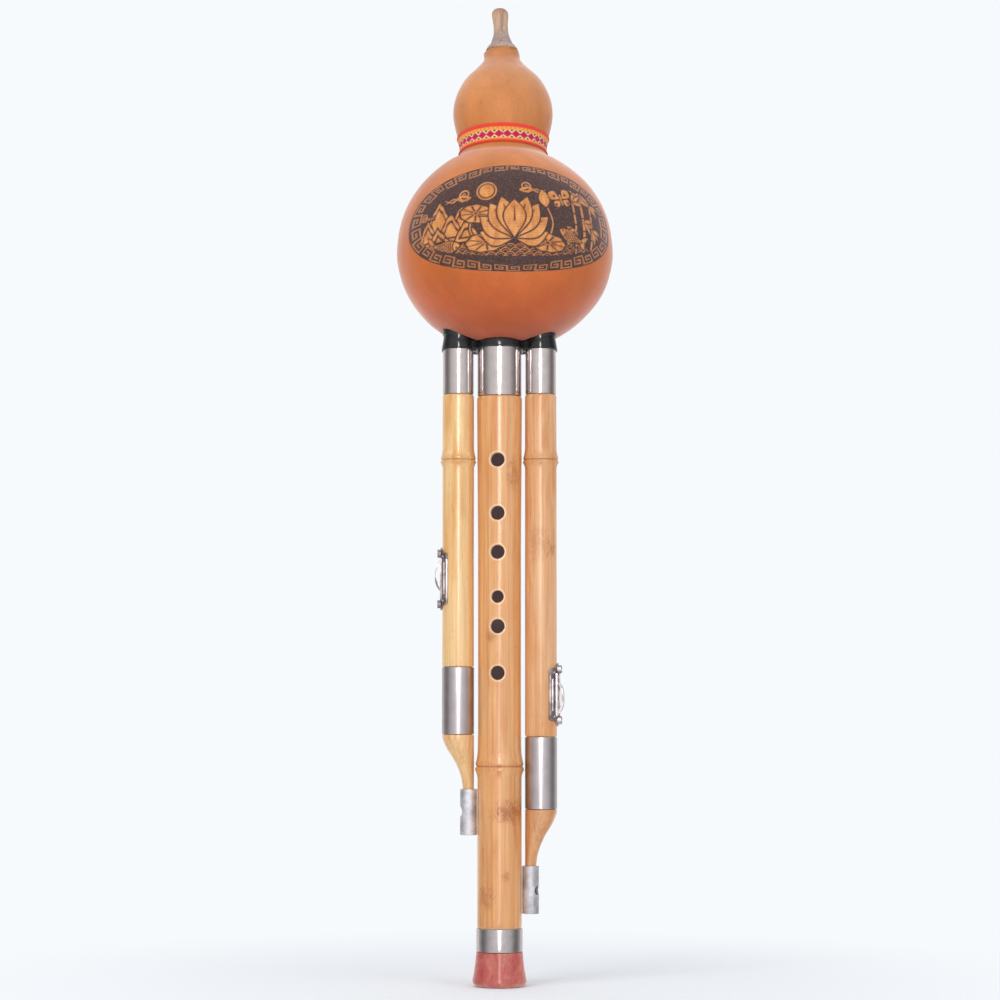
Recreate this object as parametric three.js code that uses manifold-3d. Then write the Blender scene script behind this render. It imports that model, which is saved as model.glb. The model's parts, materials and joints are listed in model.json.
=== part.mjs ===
// A hulusi, the gourd flute of south-west China: a gourd wind chest, a melody pipe and two drone pipes.
// Millimetres, +Z up along the pipes, the origin at the centre of the bell's lower end.
// The finger holes face -Y, and +X is to the right of someone looking at them.
import * as THREE from 'three';
import { mergeVertices } from 'three/addons/utils/BufferGeometryUtils.js';
import Module from 'manifold-3d';

const wasm = await Module();
wasm.setup();

// Clearances and cutting overrun
const seat_gap = 0.3;
const turning_gap = 0.35;
const overrun = 2;

// Gourd, in its own leaning frame: height counts up its axis from the plane of the collars' rims
const gourd_lean_deg = 8.5;
const rim_height = 292.4;
const gourd_bottom = 3.3;
const gourd_height = 144.7;
const belly_radius = 50.4;
const gourd_wall = 3.5;
const blow_hole_radius = 4.5;
const gourd_sway = 2.5;

// Mouthpiece
const mouthpiece_length = 21.6;
const mouthpiece_foot_radius = 7.9;
const mouthpiece_bore_radius = 1.9;
const mouthpiece_spigot_length = 8;
const mouthpiece_sway = 1.1;

// Ribbon round the waist
const ribbon_low = 95.6;
const ribbon_width = 9;
const ribbon_thickness = 0.7;

// Pipe base: three collars on one moulding
const drone_spacing = 19.15;
const melody_lip_radius = 11.6;
const melody_neck_radius = 10.6;
const drone_lip_radius = 7.8;
const drone_neck_radius = 6.95;
const collar_lip_height = 3.6;
const collar_cove_height = 6;
const collar_bead_height = 1.5;
const collar_bead_step = 0.4;
const neck_reach = 16;
const web_half_width = 4.2;

// Melody pipe
const melody_radius_top = 9.8;
const melody_radius_low = 9.95;
const melody_bore_radius = 6.2;
const melody_tenon_radius = 8.6;
const melody_node_drop = 192.2;
const melody_node_radius = 11.3;
const melody_node_half_length = 8;
const node_groove_depth = 0.5;

// Finger holes in front, each with its drop below the rims and its radius; a thumb hole and two vents behind
const finger_holes = [[50.4, 2.9], [75.4, 2.9], [93.5, 2.9], [113.9, 2.6], [127.7, 2.9], [149, 2.9]];
const finger_hole_turn_deg = 5.8;
const finger_hole_bevel = 0.4;
const thumb_hole = [35.9, 2.9];
const low_vents = [[230.4, 2.2], [244.4, 2.2]];

// Ferrules
const ferrule_drop = 20.1;
const melody_ferrule_radius = 9.4;
const drone_ferrule_radius = 6.55;
const bell_ferrule_length = 10.4;
const bell_ferrule_radius = 10.7;
const bell_ferrule_wall = 0.8;

// Tenon, seal and reed tube at the top of every pipe
const tenon_reach = 14.1;
const seal_drop = 7.7;
const seal_length = 5;
const seal_thickness = 0.8;
const reed_tube_spigot_length = 16;
const reed_tube_length = 45.5;
const reed_tube_wall = 1.2;
const drone_reed_tube_radius = 4.6;
const reed_plate_length = 17;
const reed_plate_width = 4.8;
const reed_plate_thickness = 0.4;
const reed_tongue_length = 12;
const reed_tongue_width = 2.4;
const reed_slit = 0.3;
const reed_plug_head = 2.5;
const reed_plug_spigot = 4;

// Drones
const drone_radius_top = 7.1;
const drone_radius_low = 7.3;
const drone_bore_radius = 3.6;
const drone_tenon_radius = 5.8;
const drone_node_drop = 50.7;
const drone_node_radius = 8.5;
const drone_node_half_length = 5.5;
const lower_ferrule_radius = 7.45;
const lower_ferrule_wall = 0.6;
const tip_radius = 2.55;
const sleeve_radius = 3.85;
const sleeve_wall = 0.85;
const sleeve_offset = 4.85;
const sleeve_depth = 6.5;
const cord_hole_radius = 2.4;

// Each drone, named from the side it is on as the finger holes are faced: drops are below the rims,
// the cord hole's is below its sleeve's top
const left_drone = {
  side: 'left',
  toward: 1,
  shutter_drop: 105.9,
  shutter_turn_deg: 0,
  ferrule_drop: 146.8,
  ferrule_length: 30.7,
  tail_length: 25.2,
  sleeve_length: 21.1,
  cord_hole_drop: 10.4,
  cord_hole_turn_deg: 0,
};
const right_drone = {
  side: 'right',
  toward: -1,
  shutter_drop: 159.4,
  shutter_turn_deg: 12,
  ferrule_drop: 178.9,
  ferrule_length: 32.9,
  tail_length: 26.1,
  sleeve_length: 21.8,
  cord_hole_drop: 11.1,
  cord_hole_turn_deg: 20,
};

// Shutter: a plate screwed to the drone and a slide with a bow handle
const plate_length = 29;
const plate_half_width = 6.3;
const plate_thickness = 0.7;
const plate_tip_length = 3.4;
const plate_scroll_radius = 1.9;
const plate_border_width = 0.9;
const plate_dome_radius = 0.8;
const plate_dome_lift = 0.1;
const rail_height = 1.15;
const rail_width = 0.7;
const rail_lip = 0.8;
const rail_lip_thickness = 0.45;
const edge_rib_width = 0.8;
const edge_rib_height = 0.5;
const slide_length = 16;
const slide_travel = 3;
const slide_foot_half_width = 2.3;
const slide_foot_thickness = 0.7;
const slide_seat_depth = 0.6;
const slide_spine_half_width = 1.3;
const slide_spine_height = 0.7;
const bow_height = 3.5;
const bow_thickness = 0.85;
const bow_gap_length = 10.6;
const bow_half_width = 1.1;
const vent_radius = 1.2;
const boss_radius = 1.9;
const boss_height = 2.4;
const boss_recess = 0.8;
const screw_head_radius = 1.25;
const screw_head_height = 0.6;
const screw_shank_radius = 0.5;
const screw_length = 4.2;
const screw_slot_width = 0.3;

// Bell
const bell_radius = 12.5;
const bell_lip_radius = 2.2;
const bell_length = 15.7;
const bell_mouth_radius = 7.9;
const bell_spigot_length = 4;

// Facets
const outline_tolerance = 0.08;
const gourd_tolerance = 0.22;
const hollow_tolerance = 0.6;
const taper_tolerance_share = 0.006;
const gourd_sides = 48;
const gourd_hollow_sides = 24;
const bell_sides = 32;
const pipe_sides = 24;
const drone_sides = 20;
const small_sides = 16;
const hidden_sides = 12;
const arc_steps = 4;

// Heights that follow from the sizes
const neck_top = gourd_bottom + gourd_height;
const bell_ferrule_top = bell_length + bell_ferrule_length;
const ferrule_low = rim_height - ferrule_drop;
const tenon_top = rim_height + tenon_reach;
const seal_low = tenon_top - seal_drop;
const reed_tube_top = tenon_top + reed_tube_length;
const melody_node_height = rim_height - melody_node_drop;
const drone_node_height = rim_height - drone_node_drop;
for (const drone of [left_drone, right_drone]) {
  drone.shutter = rim_height - drone.shutter_drop;
  drone.ferrule_top = rim_height - drone.ferrule_drop;
  drone.ferrule_low = drone.ferrule_top - drone.ferrule_length;
  drone.sleeve_top = drone.ferrule_low - drone.tail_length;
  drone.cord_hole = drone.sleeve_top - drone.cord_hole_drop;
  drone.sleeve_low = drone.sleeve_top - drone.sleeve_length;
}

const radians = THREE.MathUtils.degToRad;
const lean = radians(gourd_lean_deg);
const to_leaning = new THREE.Matrix4().makeTranslation(0, 0, rim_height)
  .multiply(new THREE.Matrix4().makeRotationX(-lean));
const from_leaning = to_leaning.clone().invert();

// Closed geometry with shared corners, facing out, ready to join and cut
function closed(geometry) {
  const bare = geometry.clone();
  bare.deleteAttribute('normal');
  bare.deleteAttribute('uv');
  const merged = mergeVertices(bare, seat_gap / 1000);
  const corner = merged.index.array;
  const kept = [];
  for (let i = 0; i < corner.length; i += 3) {
    const [a, b, c] = [corner[i], corner[i + 1], corner[i + 2]];
    if (a !== b && b !== c && a !== c) kept.push(a, b, c);
  }
  const place = merged.attributes.position;
  const [p, q, r] = [new THREE.Vector3(), new THREE.Vector3(), new THREE.Vector3()];
  let volume = 0;
  for (let i = 0; i < kept.length; i += 3) {
    p.fromBufferAttribute(place, kept[i]);
    q.fromBufferAttribute(place, kept[i + 1]);
    r.fromBufferAttribute(place, kept[i + 2]);
    volume += p.dot(q.cross(r));
  }
  merged.setIndex(volume < 0 ? kept.reverse() : kept);
  return merged;
}

function solid(geometry) {
  const shape = closed(geometry);
  return new wasm.Manifold(new wasm.Mesh({
    numProp: 3,
    vertProperties: new Float32Array(shape.attributes.position.array),
    triVerts: new Uint32Array(shape.index.array),
  }));
}

function geometryOf(body) {
  const { vertProperties, triVerts } = body.getMesh();
  const geometry = new THREE.BufferGeometry();
  geometry.setAttribute('position', new THREE.BufferAttribute(vertProperties, 3));
  geometry.setIndex(new THREE.BufferAttribute(triVerts, 1));
  return geometry;
}

function joined(...bodies) {
  return bodies.reduce((whole, body) => whole.add(body));
}

function cut(body, ...cutters) {
  return cutters.reduce((left, cutter) => left.subtract(cutter), body);
}

// A profile of [radius, height] points turned about Z
function turned(profile, sides = pipe_sides) {
  const points = profile.map(([radius, height]) => new THREE.Vector2(radius, height));
  return new THREE.LatheGeometry(points, sides).rotateX(Math.PI / 2);
}

// A curve through [radius, height] points, as few points as keep it within the tolerance
function smoothed(points, tolerance = outline_tolerance) {
  const curve = new THREE.SplineCurve(points.map(([radius, height]) => new THREE.Vector2(radius, height)));
  return thinned(curve.getPoints(6 * (points.length - 1)).map(({ x, y }) => [x, y]), tolerance);
}

// Leaves out the points that lie within a tolerance of the line between those that stay
function thinned(points, tolerance) {
  const [x, y] = points[0];
  const [end_x, end_y] = points[points.length - 1];
  const length = Math.hypot(end_x - x, end_y - y);
  let [far, split] = [0, 0];
  points.slice(1, -1).forEach(([px, py], i) => {
    const off = Math.abs((px - x) * (end_y - y) - (py - y) * (end_x - x)) / length;
    if (off > far) [far, split] = [off, i + 1];
  });
  if (far <= tolerance) return [points[0], points[points.length - 1]];
  const before = thinned(points.slice(0, split + 1), tolerance);
  return [...before.slice(0, -1), ...thinned(points.slice(split), tolerance)];
}

function rodProfile(radius, low, high) {
  return [[0, low], [radius, low], [radius, high], [0, high]];
}

function tubeProfile(inner, outer, low, high) {
  return [[inner, low], [outer, low], [outer, high], [inner, high], [inner, low]];
}

// A rod along the X axis, from one distance to another
function crossRod(radius, from, to, sides = small_sides) {
  return turned(rodProfile(radius, from, to), sides).rotateY(Math.PI / 2);
}

// A flat outline extruded upwards between two heights
function extruded(shape, low, high) {
  const geometry = new THREE.ExtrudeGeometry(shape, {
    depth: high - low,
    bevelEnabled: false,
    curveSegments: arc_steps,
  });
  return geometry.translate(0, 0, low);
}

// A flat outline across X, extruded along it: the outline's first axis becomes Y and its second Z
function slabAcross(shape, from, to) {
  return extruded(shape, from, to).applyMatrix4(new THREE.Matrix4().makeBasis(
    new THREE.Vector3(0, 1, 0), new THREE.Vector3(0, 0, 1), new THREE.Vector3(1, 0, 0)));
}

// A flat outline seen from the side, extruded across Y: the outline's axes become X and Z
function slabAside(shape, half_width) {
  return extruded(shape, -half_width, half_width).applyMatrix4(new THREE.Matrix4().makeBasis(
    new THREE.Vector3(1, 0, 0), new THREE.Vector3(0, 0, 1), new THREE.Vector3(0, -1, 0)));
}

// A piece of a tube's wall, between two radii and as wide as twice half_width at the outer one
function wallSector(inner, outer, half_width, low, high) {
  const half_angle = Math.asin(half_width / outer);
  const shape = new THREE.Shape();
  shape.absarc(0, 0, outer, -half_angle, half_angle, false);
  shape.absarc(0, 0, inner, half_angle, -half_angle, true);
  return extruded(shape, low, high);
}

function box(from, to) {
  const size = to.map((high, i) => high - from[i]);
  const centre = to.map((high, i) => (high + from[i]) / 2);
  return new THREE.BoxGeometry(...size).translate(...centre);
}

// Each point's height follows the lean: the front of a tilted plane is higher than its back
function slanted(geometry) {
  const place = geometry.attributes.position;
  for (let i = 0; i < place.count; i += 1) {
    place.setZ(i, place.getZ(i) - place.getY(i) * Math.tan(lean));
  }
  return geometry;
}

// The gourd's outline as shares: of the belly's radius, and of the height from its bottom to its neck
const gourd_outline_shares = [
  [0, 0], [0.237, 0.004], [0.471, 0.03], [0.716, 0.088], [0.91, 0.175], [1, 0.275], [0.992, 0.362],
  [0.94, 0.434], [0.84, 0.5], [0.719, 0.55], [0.578, 0.592], [0.44, 0.624], [0.396, 0.664], [0.439, 0.721],
  [0.469, 0.779], [0.448, 0.836], [0.367, 0.894], [0.251, 0.937], [0.181, 0.966], [0.165, 0.983],
  [0.168, 0.992], [0.163, 1],
];
// How far the grown gourd stands to the right of its axis, as shares of its sway, by share of its height
const gourd_sway_shares = [[0, 0], [0.05, 0.7], [0.2, 1], [0.5, 1], [0.65, 0.68], [0.9, 0.64], [1, 0.5]];

const gourd_outline = smoothed(gourd_outline_shares.map(([radius_share, height_share]) =>
  [radius_share * belly_radius, gourd_bottom + height_share * gourd_height]), gourd_tolerance);

// The outline moved out of the gourd's skin by a distance, or into it where that is negative
function gourdProfile(distance) {
  return gourd_outline.map(([radius, height], i) => {
    const [low_radius, low] = gourd_outline[Math.max(i - 1, 0)];
    const [high_radius, high] = gourd_outline[Math.min(i + 1, gourd_outline.length - 1)];
    const along = new THREE.Vector2(high_radius - low_radius, high - low).normalize();
    return [i === 0 ? 0 : Math.max(radius + distance * along.y, 0), height - distance * along.x];
  });
}

function swayAt(height) {
  const share = (height - gourd_bottom) / gourd_height;
  const table = gourd_sway_shares;
  const last = table.length - 1;
  if (share <= table[0][0]) return table[0][1] * gourd_sway;
  if (share >= table[last][0]) return table[last][1] * gourd_sway;
  const next = table.findIndex(([height_share]) => height_share > share);
  const [low, high] = [table[next - 1], table[next]];
  const part = THREE.MathUtils.smoothstep(share, low[0], high[0]);
  return THREE.MathUtils.lerp(low[1], high[1], part) * gourd_sway;
}

function swayed(geometry) {
  const place = geometry.attributes.position;
  for (let i = 0; i < place.count; i += 1) {
    place.setX(i, place.getX(i) + swayAt(place.getZ(i)));
  }
  return geometry;
}

// The whole gourd as a filled body, its skin moved out by a distance
function gourdBody(distance) {
  const profile = gourdProfile(distance);
  profile.push([0, profile[profile.length - 1][1]]);
  return swayed(turned(profile, gourd_sides));
}

// The space inside the wall, up to the blow hole
function gourdHollow() {
  const profile = thinned(gourdProfile(-gourd_wall), hollow_tolerance).map(([radius, height], i) =>
    [i === 0 ? 0 : Math.max(radius, blow_hole_radius), height]);
  profile.push([blow_hole_radius, neck_top + overrun], [0, neck_top + overrun]);
  return swayed(turned(profile, gourd_hollow_sides));
}

// The three-lobed outline of the base, as upright bodies, made wider by a clearance
function baseOutline(clearance, low, high) {
  const necks = [
    [-drone_spacing, drone_neck_radius],
    [0, melody_neck_radius],
    [drone_spacing, drone_neck_radius],
  ];
  const lobes = necks.map(([x, radius]) =>
    solid(turned(rodProfile(radius + clearance, low, high)).translate(x, 0, 0)));
  const half = web_half_width + clearance;
  const web = solid(box([-drone_spacing, -half, low], [drone_spacing, half, high]));
  return joined(...lobes, web);
}

function gourdShell() {
  const outline = baseOutline(seat_gap, rim_height - belly_radius, rim_height + neck_reach + overrun);
  const opening = solid(geometryOf(outline).applyMatrix4(from_leaning));
  return cut(solid(gourdBody(0)), solid(gourdHollow()), opening);
}

// The mouthpiece's outline as shares: of its foot's radius, and of its length
const mouthpiece_outline_shares = [
  [1, 0], [0.96, 0.05], [0.85, 0.115], [0.7, 0.18], [0.62, 0.25], [0.52, 0.34], [0.45, 0.44], [0.43, 0.58],
  [0.44, 0.68], [0.48, 0.79], [0.5, 0.87], [0.47, 0.94], [0.38, 0.985],
];

function mouthpiece() {
  const foot = neck_top + seat_gap;
  const outline = smoothed(mouthpiece_outline_shares.map(([radius_share, height_share]) =>
    [radius_share * mouthpiece_foot_radius, foot + height_share * mouthpiece_length]));
  const spigot_radius = blow_hole_radius - seat_gap;
  const top = foot + mouthpiece_length;
  const profile = [
    [mouthpiece_bore_radius, foot - mouthpiece_spigot_length],
    [spigot_radius, foot - mouthpiece_spigot_length],
    [spigot_radius, foot],
    ...outline,
    [mouthpiece_bore_radius + seat_gap, top],
    [mouthpiece_bore_radius, top - seat_gap],
    [mouthpiece_bore_radius, foot - mouthpiece_spigot_length],
  ];
  const geometry = turned(profile, drone_sides);
  const place = geometry.attributes.position;
  const neck_sway = swayAt(neck_top);
  for (let i = 0; i < place.count; i += 1) {
    const share = THREE.MathUtils.clamp((place.getZ(i) - foot) / mouthpiece_length, 0, 1);
    place.setX(i, place.getX(i) + neck_sway - share * mouthpiece_sway);
  }
  return geometry;
}

function neckRibbon() {
  const band = solid(turned(rodProfile(belly_radius, ribbon_low, ribbon_low + ribbon_width)));
  return cut(solid(gourdBody(seat_gap + ribbon_thickness)), solid(gourdBody(seat_gap))).intersect(band);
}

// A collar: flared lip at the rim, a cove above it, then a straight neck, with heights from the rim's plane
function collar(lip_radius, neck_radius) {
  const flare = lip_radius - neck_radius;
  const edge = flare / 3;
  const cove = smoothed([
    [lip_radius, collar_lip_height / 3],
    [neck_radius + 0.55 * flare, collar_lip_height],
    [neck_radius, collar_cove_height],
  ]);
  const profile = [[0, 0], [lip_radius - edge, 0], [lip_radius, edge], ...cove];
  profile.push([neck_radius, neck_reach], [0, neck_reach]);
  return slanted(turned(profile)).translate(0, 0, rim_height);
}

// The socket for a pipe: a counterbore for the ferrule's end and a bore for the tenon above it
function socket(x, lip_radius, ferrule_radius, tenon_radius) {
  const shoulder = ferruleTop(lip_radius) + seat_gap;
  const low = rim_height - belly_radius;
  const high = rim_height + belly_radius;
  const profile = [
    [0, low],
    [ferrule_radius + turning_gap, low],
    [ferrule_radius + turning_gap, shoulder],
    [tenon_radius + turning_gap, shoulder],
    [tenon_radius + turning_gap, high],
    [0, high],
  ];
  return solid(turned(profile).translate(x, 0, 0));
}

// A ferrule ends level with the highest point of its collar's slanted rim
function ferruleTop(lip_radius) {
  return rim_height + lip_radius * Math.tan(lean);
}

function pipeBase() {
  const kinds = [
    [-drone_spacing, drone_lip_radius, drone_neck_radius, drone_ferrule_radius, drone_tenon_radius],
    [0, melody_lip_radius, melody_neck_radius, melody_ferrule_radius, melody_tenon_radius],
    [drone_spacing, drone_lip_radius, drone_neck_radius, drone_ferrule_radius, drone_tenon_radius],
  ];
  const collars = kinds.map(([x, lip, neck]) => solid(collar(lip, neck).translate(x, 0, 0)));
  const web_low = rim_height + collar_lip_height / 2;
  const web_box = box([-drone_spacing, -web_half_width, web_low],
    [drone_spacing, web_half_width, rim_height + neck_reach]);
  const body = joined(...collars, solid(slanted(web_box)));
  const inside = baseOutline(0, rim_height, rim_height + neck_reach);
  const skin = solid(gourdBody(seat_gap).applyMatrix4(to_leaning));
  const bead_skin = solid(gourdBody(seat_gap + collar_bead_height).applyMatrix4(to_leaning));
  const bead = baseOutline(collar_bead_step, rim_height, rim_height + neck_reach).intersect(bead_skin);
  const outside = cut(joined(body, bead), skin);
  const sockets = kinds.map(([x, lip, , ferrule, tenon]) => socket(x, lip, ferrule, tenon));
  return cut(joined(outside, inside.intersect(body)), ...sockets);
}

// A bamboo node: a swelling with a fine groove across its middle, as [radius, height] points going up
function nodeRing(height, half_length, node_radius, radius_below, radius_above) {
  return [
    [radius_below, height - half_length],
    [radius_below + 0.3 * (node_radius - radius_below), height - 0.55 * half_length],
    [node_radius, height - 0.2 * half_length],
    [node_radius - node_groove_depth, height],
    [node_radius - node_groove_depth / 2, height + 0.2 * half_length],
    [radius_above + 0.25 * (node_radius - radius_above), height + 0.55 * half_length],
    [radius_above, height + half_length],
  ];
}

function radiusAt(height, low, high, radius_low, radius_high) {
  return THREE.MathUtils.mapLinear(height, low, high, radius_low, radius_high);
}

// The tenon with the seal's groove, going up from the ferrule to the top of the pipe
function tenonProfile(tenon_radius) {
  const floor = tenon_radius - seal_thickness - seat_gap;
  return [
    [tenon_radius, ferrule_low + seat_gap],
    [tenon_radius, seal_low - seat_gap],
    [floor, seal_low - seat_gap],
    [floor, seal_low + seal_length + seat_gap],
    [tenon_radius, seal_low + seal_length + seat_gap],
    [tenon_radius, tenon_top],
  ];
}

function seal(tenon_radius) {
  const inner = tenon_radius - seal_thickness;
  return turned(tubeProfile(inner, tenon_radius, seal_low, seal_low + seal_length), small_sides);
}

function topFerrule(ferrule_radius, tenon_radius, lip_radius) {
  const inner = tenon_radius + seat_gap;
  const lead = (ferrule_radius - inner) / 2;
  const top = ferruleTop(lip_radius);
  return turned([
    [inner, ferrule_low],
    [ferrule_radius, ferrule_low],
    [ferrule_radius, top - lead],
    [ferrule_radius - lead, top],
    [inner, top],
    [inner, ferrule_low],
  ]);
}

// A round hole through one wall of a pipe, bevelled at the skin, on the side that the angle points to
function sideHole(height, hole_radius, bevel, skin_radius, angle, depth, sides = hidden_sides) {
  const profile = [
    [0, skin_radius - depth],
    [hole_radius, skin_radius - depth],
    [hole_radius, skin_radius - bevel],
    [hole_radius + bevel + overrun, skin_radius + overrun],
    [0, skin_radius + overrun],
  ];
  const geometry = turned(profile, sides).rotateY(Math.PI / 2);
  return solid(geometry.rotateZ(angle).translate(0, 0, height));
}

function melodyRadiusAt(height) {
  return radiusAt(height, bell_ferrule_top, ferrule_low, melody_radius_low, melody_radius_top);
}

function melodyPipe() {
  const foot_radius = bell_ferrule_radius - bell_ferrule_wall - seat_gap;
  const foot = bell_length + bell_spigot_length + seat_gap;
  const shoulder = bell_ferrule_top + seat_gap;
  const chamfer = melody_radius_top - melody_ferrule_radius;
  const profile = [
    [melody_bore_radius, foot],
    [foot_radius, foot],
    [foot_radius, shoulder],
    [melody_radius_low - chamfer, shoulder],
    [melody_radius_low, shoulder + chamfer],
    ...nodeRing(melody_node_height, melody_node_half_length, melody_node_radius,
      melodyRadiusAt(melody_node_height), melodyRadiusAt(melody_node_height)),
    [melody_radius_top, ferrule_low - seat_gap - 2 * chamfer],
    [melody_ferrule_radius, ferrule_low - seat_gap],
    [melody_tenon_radius, ferrule_low - seat_gap],
    ...tenonProfile(melody_tenon_radius),
    [melody_bore_radius, tenon_top],
    [melody_bore_radius, foot],
  ];
  const front = -Math.PI / 2 - radians(finger_hole_turn_deg);
  const back = Math.PI / 2;
  const depth = melody_radius_low - melody_bore_radius + overrun;
  const bored = ([drop, hole_radius], angle) => {
    const height = rim_height - drop;
    const skin = melodyRadiusAt(height);
    return sideHole(height, hole_radius, finger_hole_bevel, skin, angle, depth, small_sides);
  };
  return cut(solid(turned(profile)), ...finger_holes.map((hole) => bored(hole, front)),
    bored(thumb_hole, back), ...low_vents.map((vent) => bored(vent, back)));
}

function bellFerrule() {
  const inner = bell_ferrule_radius - bell_ferrule_wall;
  return turned(tubeProfile(inner, bell_ferrule_radius, bell_length, bell_ferrule_top));
}

// The bell: a spigot up into its ferrule, a waisted flare and a round lip that stands on z = 0
function bell() {
  const spigot_radius = bell_ferrule_radius - bell_ferrule_wall - seat_gap;
  const shoulder = bell_length - seat_gap;
  const top = bell_length + bell_spigot_length;
  const waist_radius = bell_ferrule_radius;
  const flare = bell_radius - waist_radius;
  const flank = smoothed([
    [waist_radius, shoulder],
    [waist_radius + 0.15 * flare, 0.78 * shoulder],
    [waist_radius + 0.45 * flare, 0.5 * shoulder],
    [bell_radius, bell_lip_radius],
  ]);
  const lip = [1, 2, 3, 4].map((step) => {
    const angle = (step / 4) * (Math.PI / 2);
    return [
      bell_radius - bell_lip_radius * (1 - Math.cos(angle)),
      bell_lip_radius * (1 - Math.sin(angle)),
    ];
  });
  const throat = [1, 2, 3].map((step) => [
    THREE.MathUtils.lerp(bell_mouth_radius, melody_bore_radius, Math.sin((step / 3) * (Math.PI / 2))),
    shoulder * (step / 3),
  ]);
  const profile = [
    [spigot_radius, top],
    [spigot_radius, shoulder],
    ...flank,
    ...lip,
    [bell_mouth_radius, 0],
    ...throat,
    [melody_bore_radius, top],
    [spigot_radius, top],
  ];
  return turned(profile, bell_sides);
}

// A reed tube stands in the pipe's bore and reaches up into the gourd, with a flat and a window for the reed
function reedTube(bore_radius, tube_radius) {
  const spigot_radius = bore_radius - seat_gap;
  const inner = spigot_radius - reed_tube_wall;
  const low = tenon_top - reed_tube_spigot_length;
  const shoulder = tenon_top + seat_gap;
  const profile = [[inner, low], [spigot_radius, low], [spigot_radius, shoulder]];
  if (tube_radius > spigot_radius) profile.push([tube_radius, shoulder]);
  profile.push([tube_radius, reed_tube_top], [inner, reed_tube_top], [inner, low]);
  const flat = flatDepth(tube_radius);
  const flat_low = reed_tube_top - reed_plug_spigot - reed_plate_length - 2 * seat_gap;
  const flat_high = reed_tube_top - reed_plug_spigot;
  const flat_cut = box([-tube_radius, -tube_radius - overrun, flat_low], [tube_radius, -flat, flat_high]);
  const window_low = flat_low + (reed_plate_length - reed_tongue_length) / 2;
  const half = reed_tongue_width / 2 + reed_slit;
  const window_high = window_low + reed_tongue_length;
  const window_cut = box([-half, -tube_radius - overrun, window_low], [half, 0, window_high]);
  return cut(solid(turned(profile, hidden_sides)), solid(flat_cut), solid(window_cut));
}

// How far from the tube's axis the flat lies: it is as wide as the reed plate needs
function flatDepth(tube_radius) {
  const half = reed_plate_width / 2 + seat_gap;
  return Math.sqrt(tube_radius * tube_radius - half * half);
}

// A brass plate with a pointed tongue cut free on two sides, seated on the tube's flat
function reedPlate(tube_radius) {
  const half_width = reed_plate_width / 2;
  const low = reed_tube_top - reed_plug_spigot - reed_plate_length - seat_gap;
  const high = low + reed_plate_length;
  const shape = new THREE.Shape();
  shape.moveTo(-half_width, low);
  shape.lineTo(half_width, low);
  shape.lineTo(half_width, high);
  shape.lineTo(-half_width, high);
  const tongue_low = (low + high - reed_tongue_length) / 2;
  const tongue_high = tongue_low + reed_tongue_length;
  const half = reed_tongue_width / 2;
  const slit = new THREE.Path();
  slit.moveTo(-half, tongue_low);
  slit.lineTo(0, tongue_high);
  slit.lineTo(half, tongue_low);
  slit.lineTo(half - reed_slit, tongue_low);
  slit.lineTo(0, tongue_high - 2 * reed_slit * reed_tongue_length / reed_tongue_width);
  slit.lineTo(reed_slit - half, tongue_low);
  shape.holes.push(slit);
  const seat = -flatDepth(tube_radius) - seat_gap - reed_plate_thickness / 2;
  return slabAside(shape, reed_plate_thickness / 2).translate(0, seat, 0);
}

function reedPlug(bore_radius, tube_radius) {
  const spigot_radius = bore_radius - 2 * seat_gap - reed_tube_wall;
  const seat = reed_tube_top + seat_gap;
  return turned([
    [0, seat - reed_plug_spigot],
    [spigot_radius, seat - reed_plug_spigot],
    [spigot_radius, seat],
    [tube_radius, seat],
    [tube_radius, seat + reed_plug_head / 2],
    [tube_radius - reed_plug_head / 2, seat + reed_plug_head],
    [0, seat + reed_plug_head],
  ], hidden_sides);
}

function droneRadiusAt(height) {
  return radiusAt(height, right_drone.ferrule_top, ferrule_low, drone_radius_low, drone_radius_top);
}

const joint_radius = lower_ferrule_radius - lower_ferrule_wall - seat_gap;

// A drone pipe, on its own axis: tenon, node, vent and screw holes, and a turned end inside the lower ferrule
function dronePipe(drone) {
  const low = (drone.ferrule_top + drone.ferrule_low) / 2;
  const shoulder = drone.ferrule_top + seat_gap;
  const skin = droneRadiusAt(drone.shutter);
  const chamfer = drone_radius_top - drone_ferrule_radius;
  const profile = [
    [drone_bore_radius, low],
    [joint_radius, low],
    [joint_radius, shoulder],
    [droneRadiusAt(shoulder), shoulder],
    ...nodeRing(drone_node_height, drone_node_half_length, drone_node_radius,
      droneRadiusAt(drone_node_height), droneRadiusAt(drone_node_height)),
    [drone_radius_top, ferrule_low - seat_gap - 2 * chamfer],
    [drone_ferrule_radius, ferrule_low - seat_gap],
    [drone_tenon_radius, ferrule_low - seat_gap],
    ...tenonProfile(drone_tenon_radius),
    [drone_bore_radius, tenon_top],
    [drone_bore_radius, low],
  ];
  const angle = outwardAngle(drone);
  const up = drone.toward;
  const wall = skin - drone_bore_radius;
  const vent = sideHole(drone.shutter - up * slide_travel / 2, vent_radius, 0, skin, angle, wall + overrun);
  const pilot_radius = screw_shank_radius + seat_gap;
  const pilot_depth = screw_length + boss_recess - boss_height + seat_gap;
  const pilots = [-1, 1].map((end) =>
    sideHole(drone.shutter + end * bossPlace(), pilot_radius, 0, skin, angle, pilot_depth));
  const seat = box([skin - slide_seat_depth, -skin, -windowEnd()], [skin + overrun, skin, windowEnd()]);
  const seat_cut = solid(seat.rotateZ(angle).translate(0, 0, drone.shutter));
  return cut(solid(turned(profile, drone_sides)), seat_cut, vent, ...pilots);
}

// The shutter faces away from the melody pipe, turned a little to the front by its own angle
function outwardAngle(drone) {
  return drone.toward === 1 ? Math.PI : -radians(drone.shutter_turn_deg);
}

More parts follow.
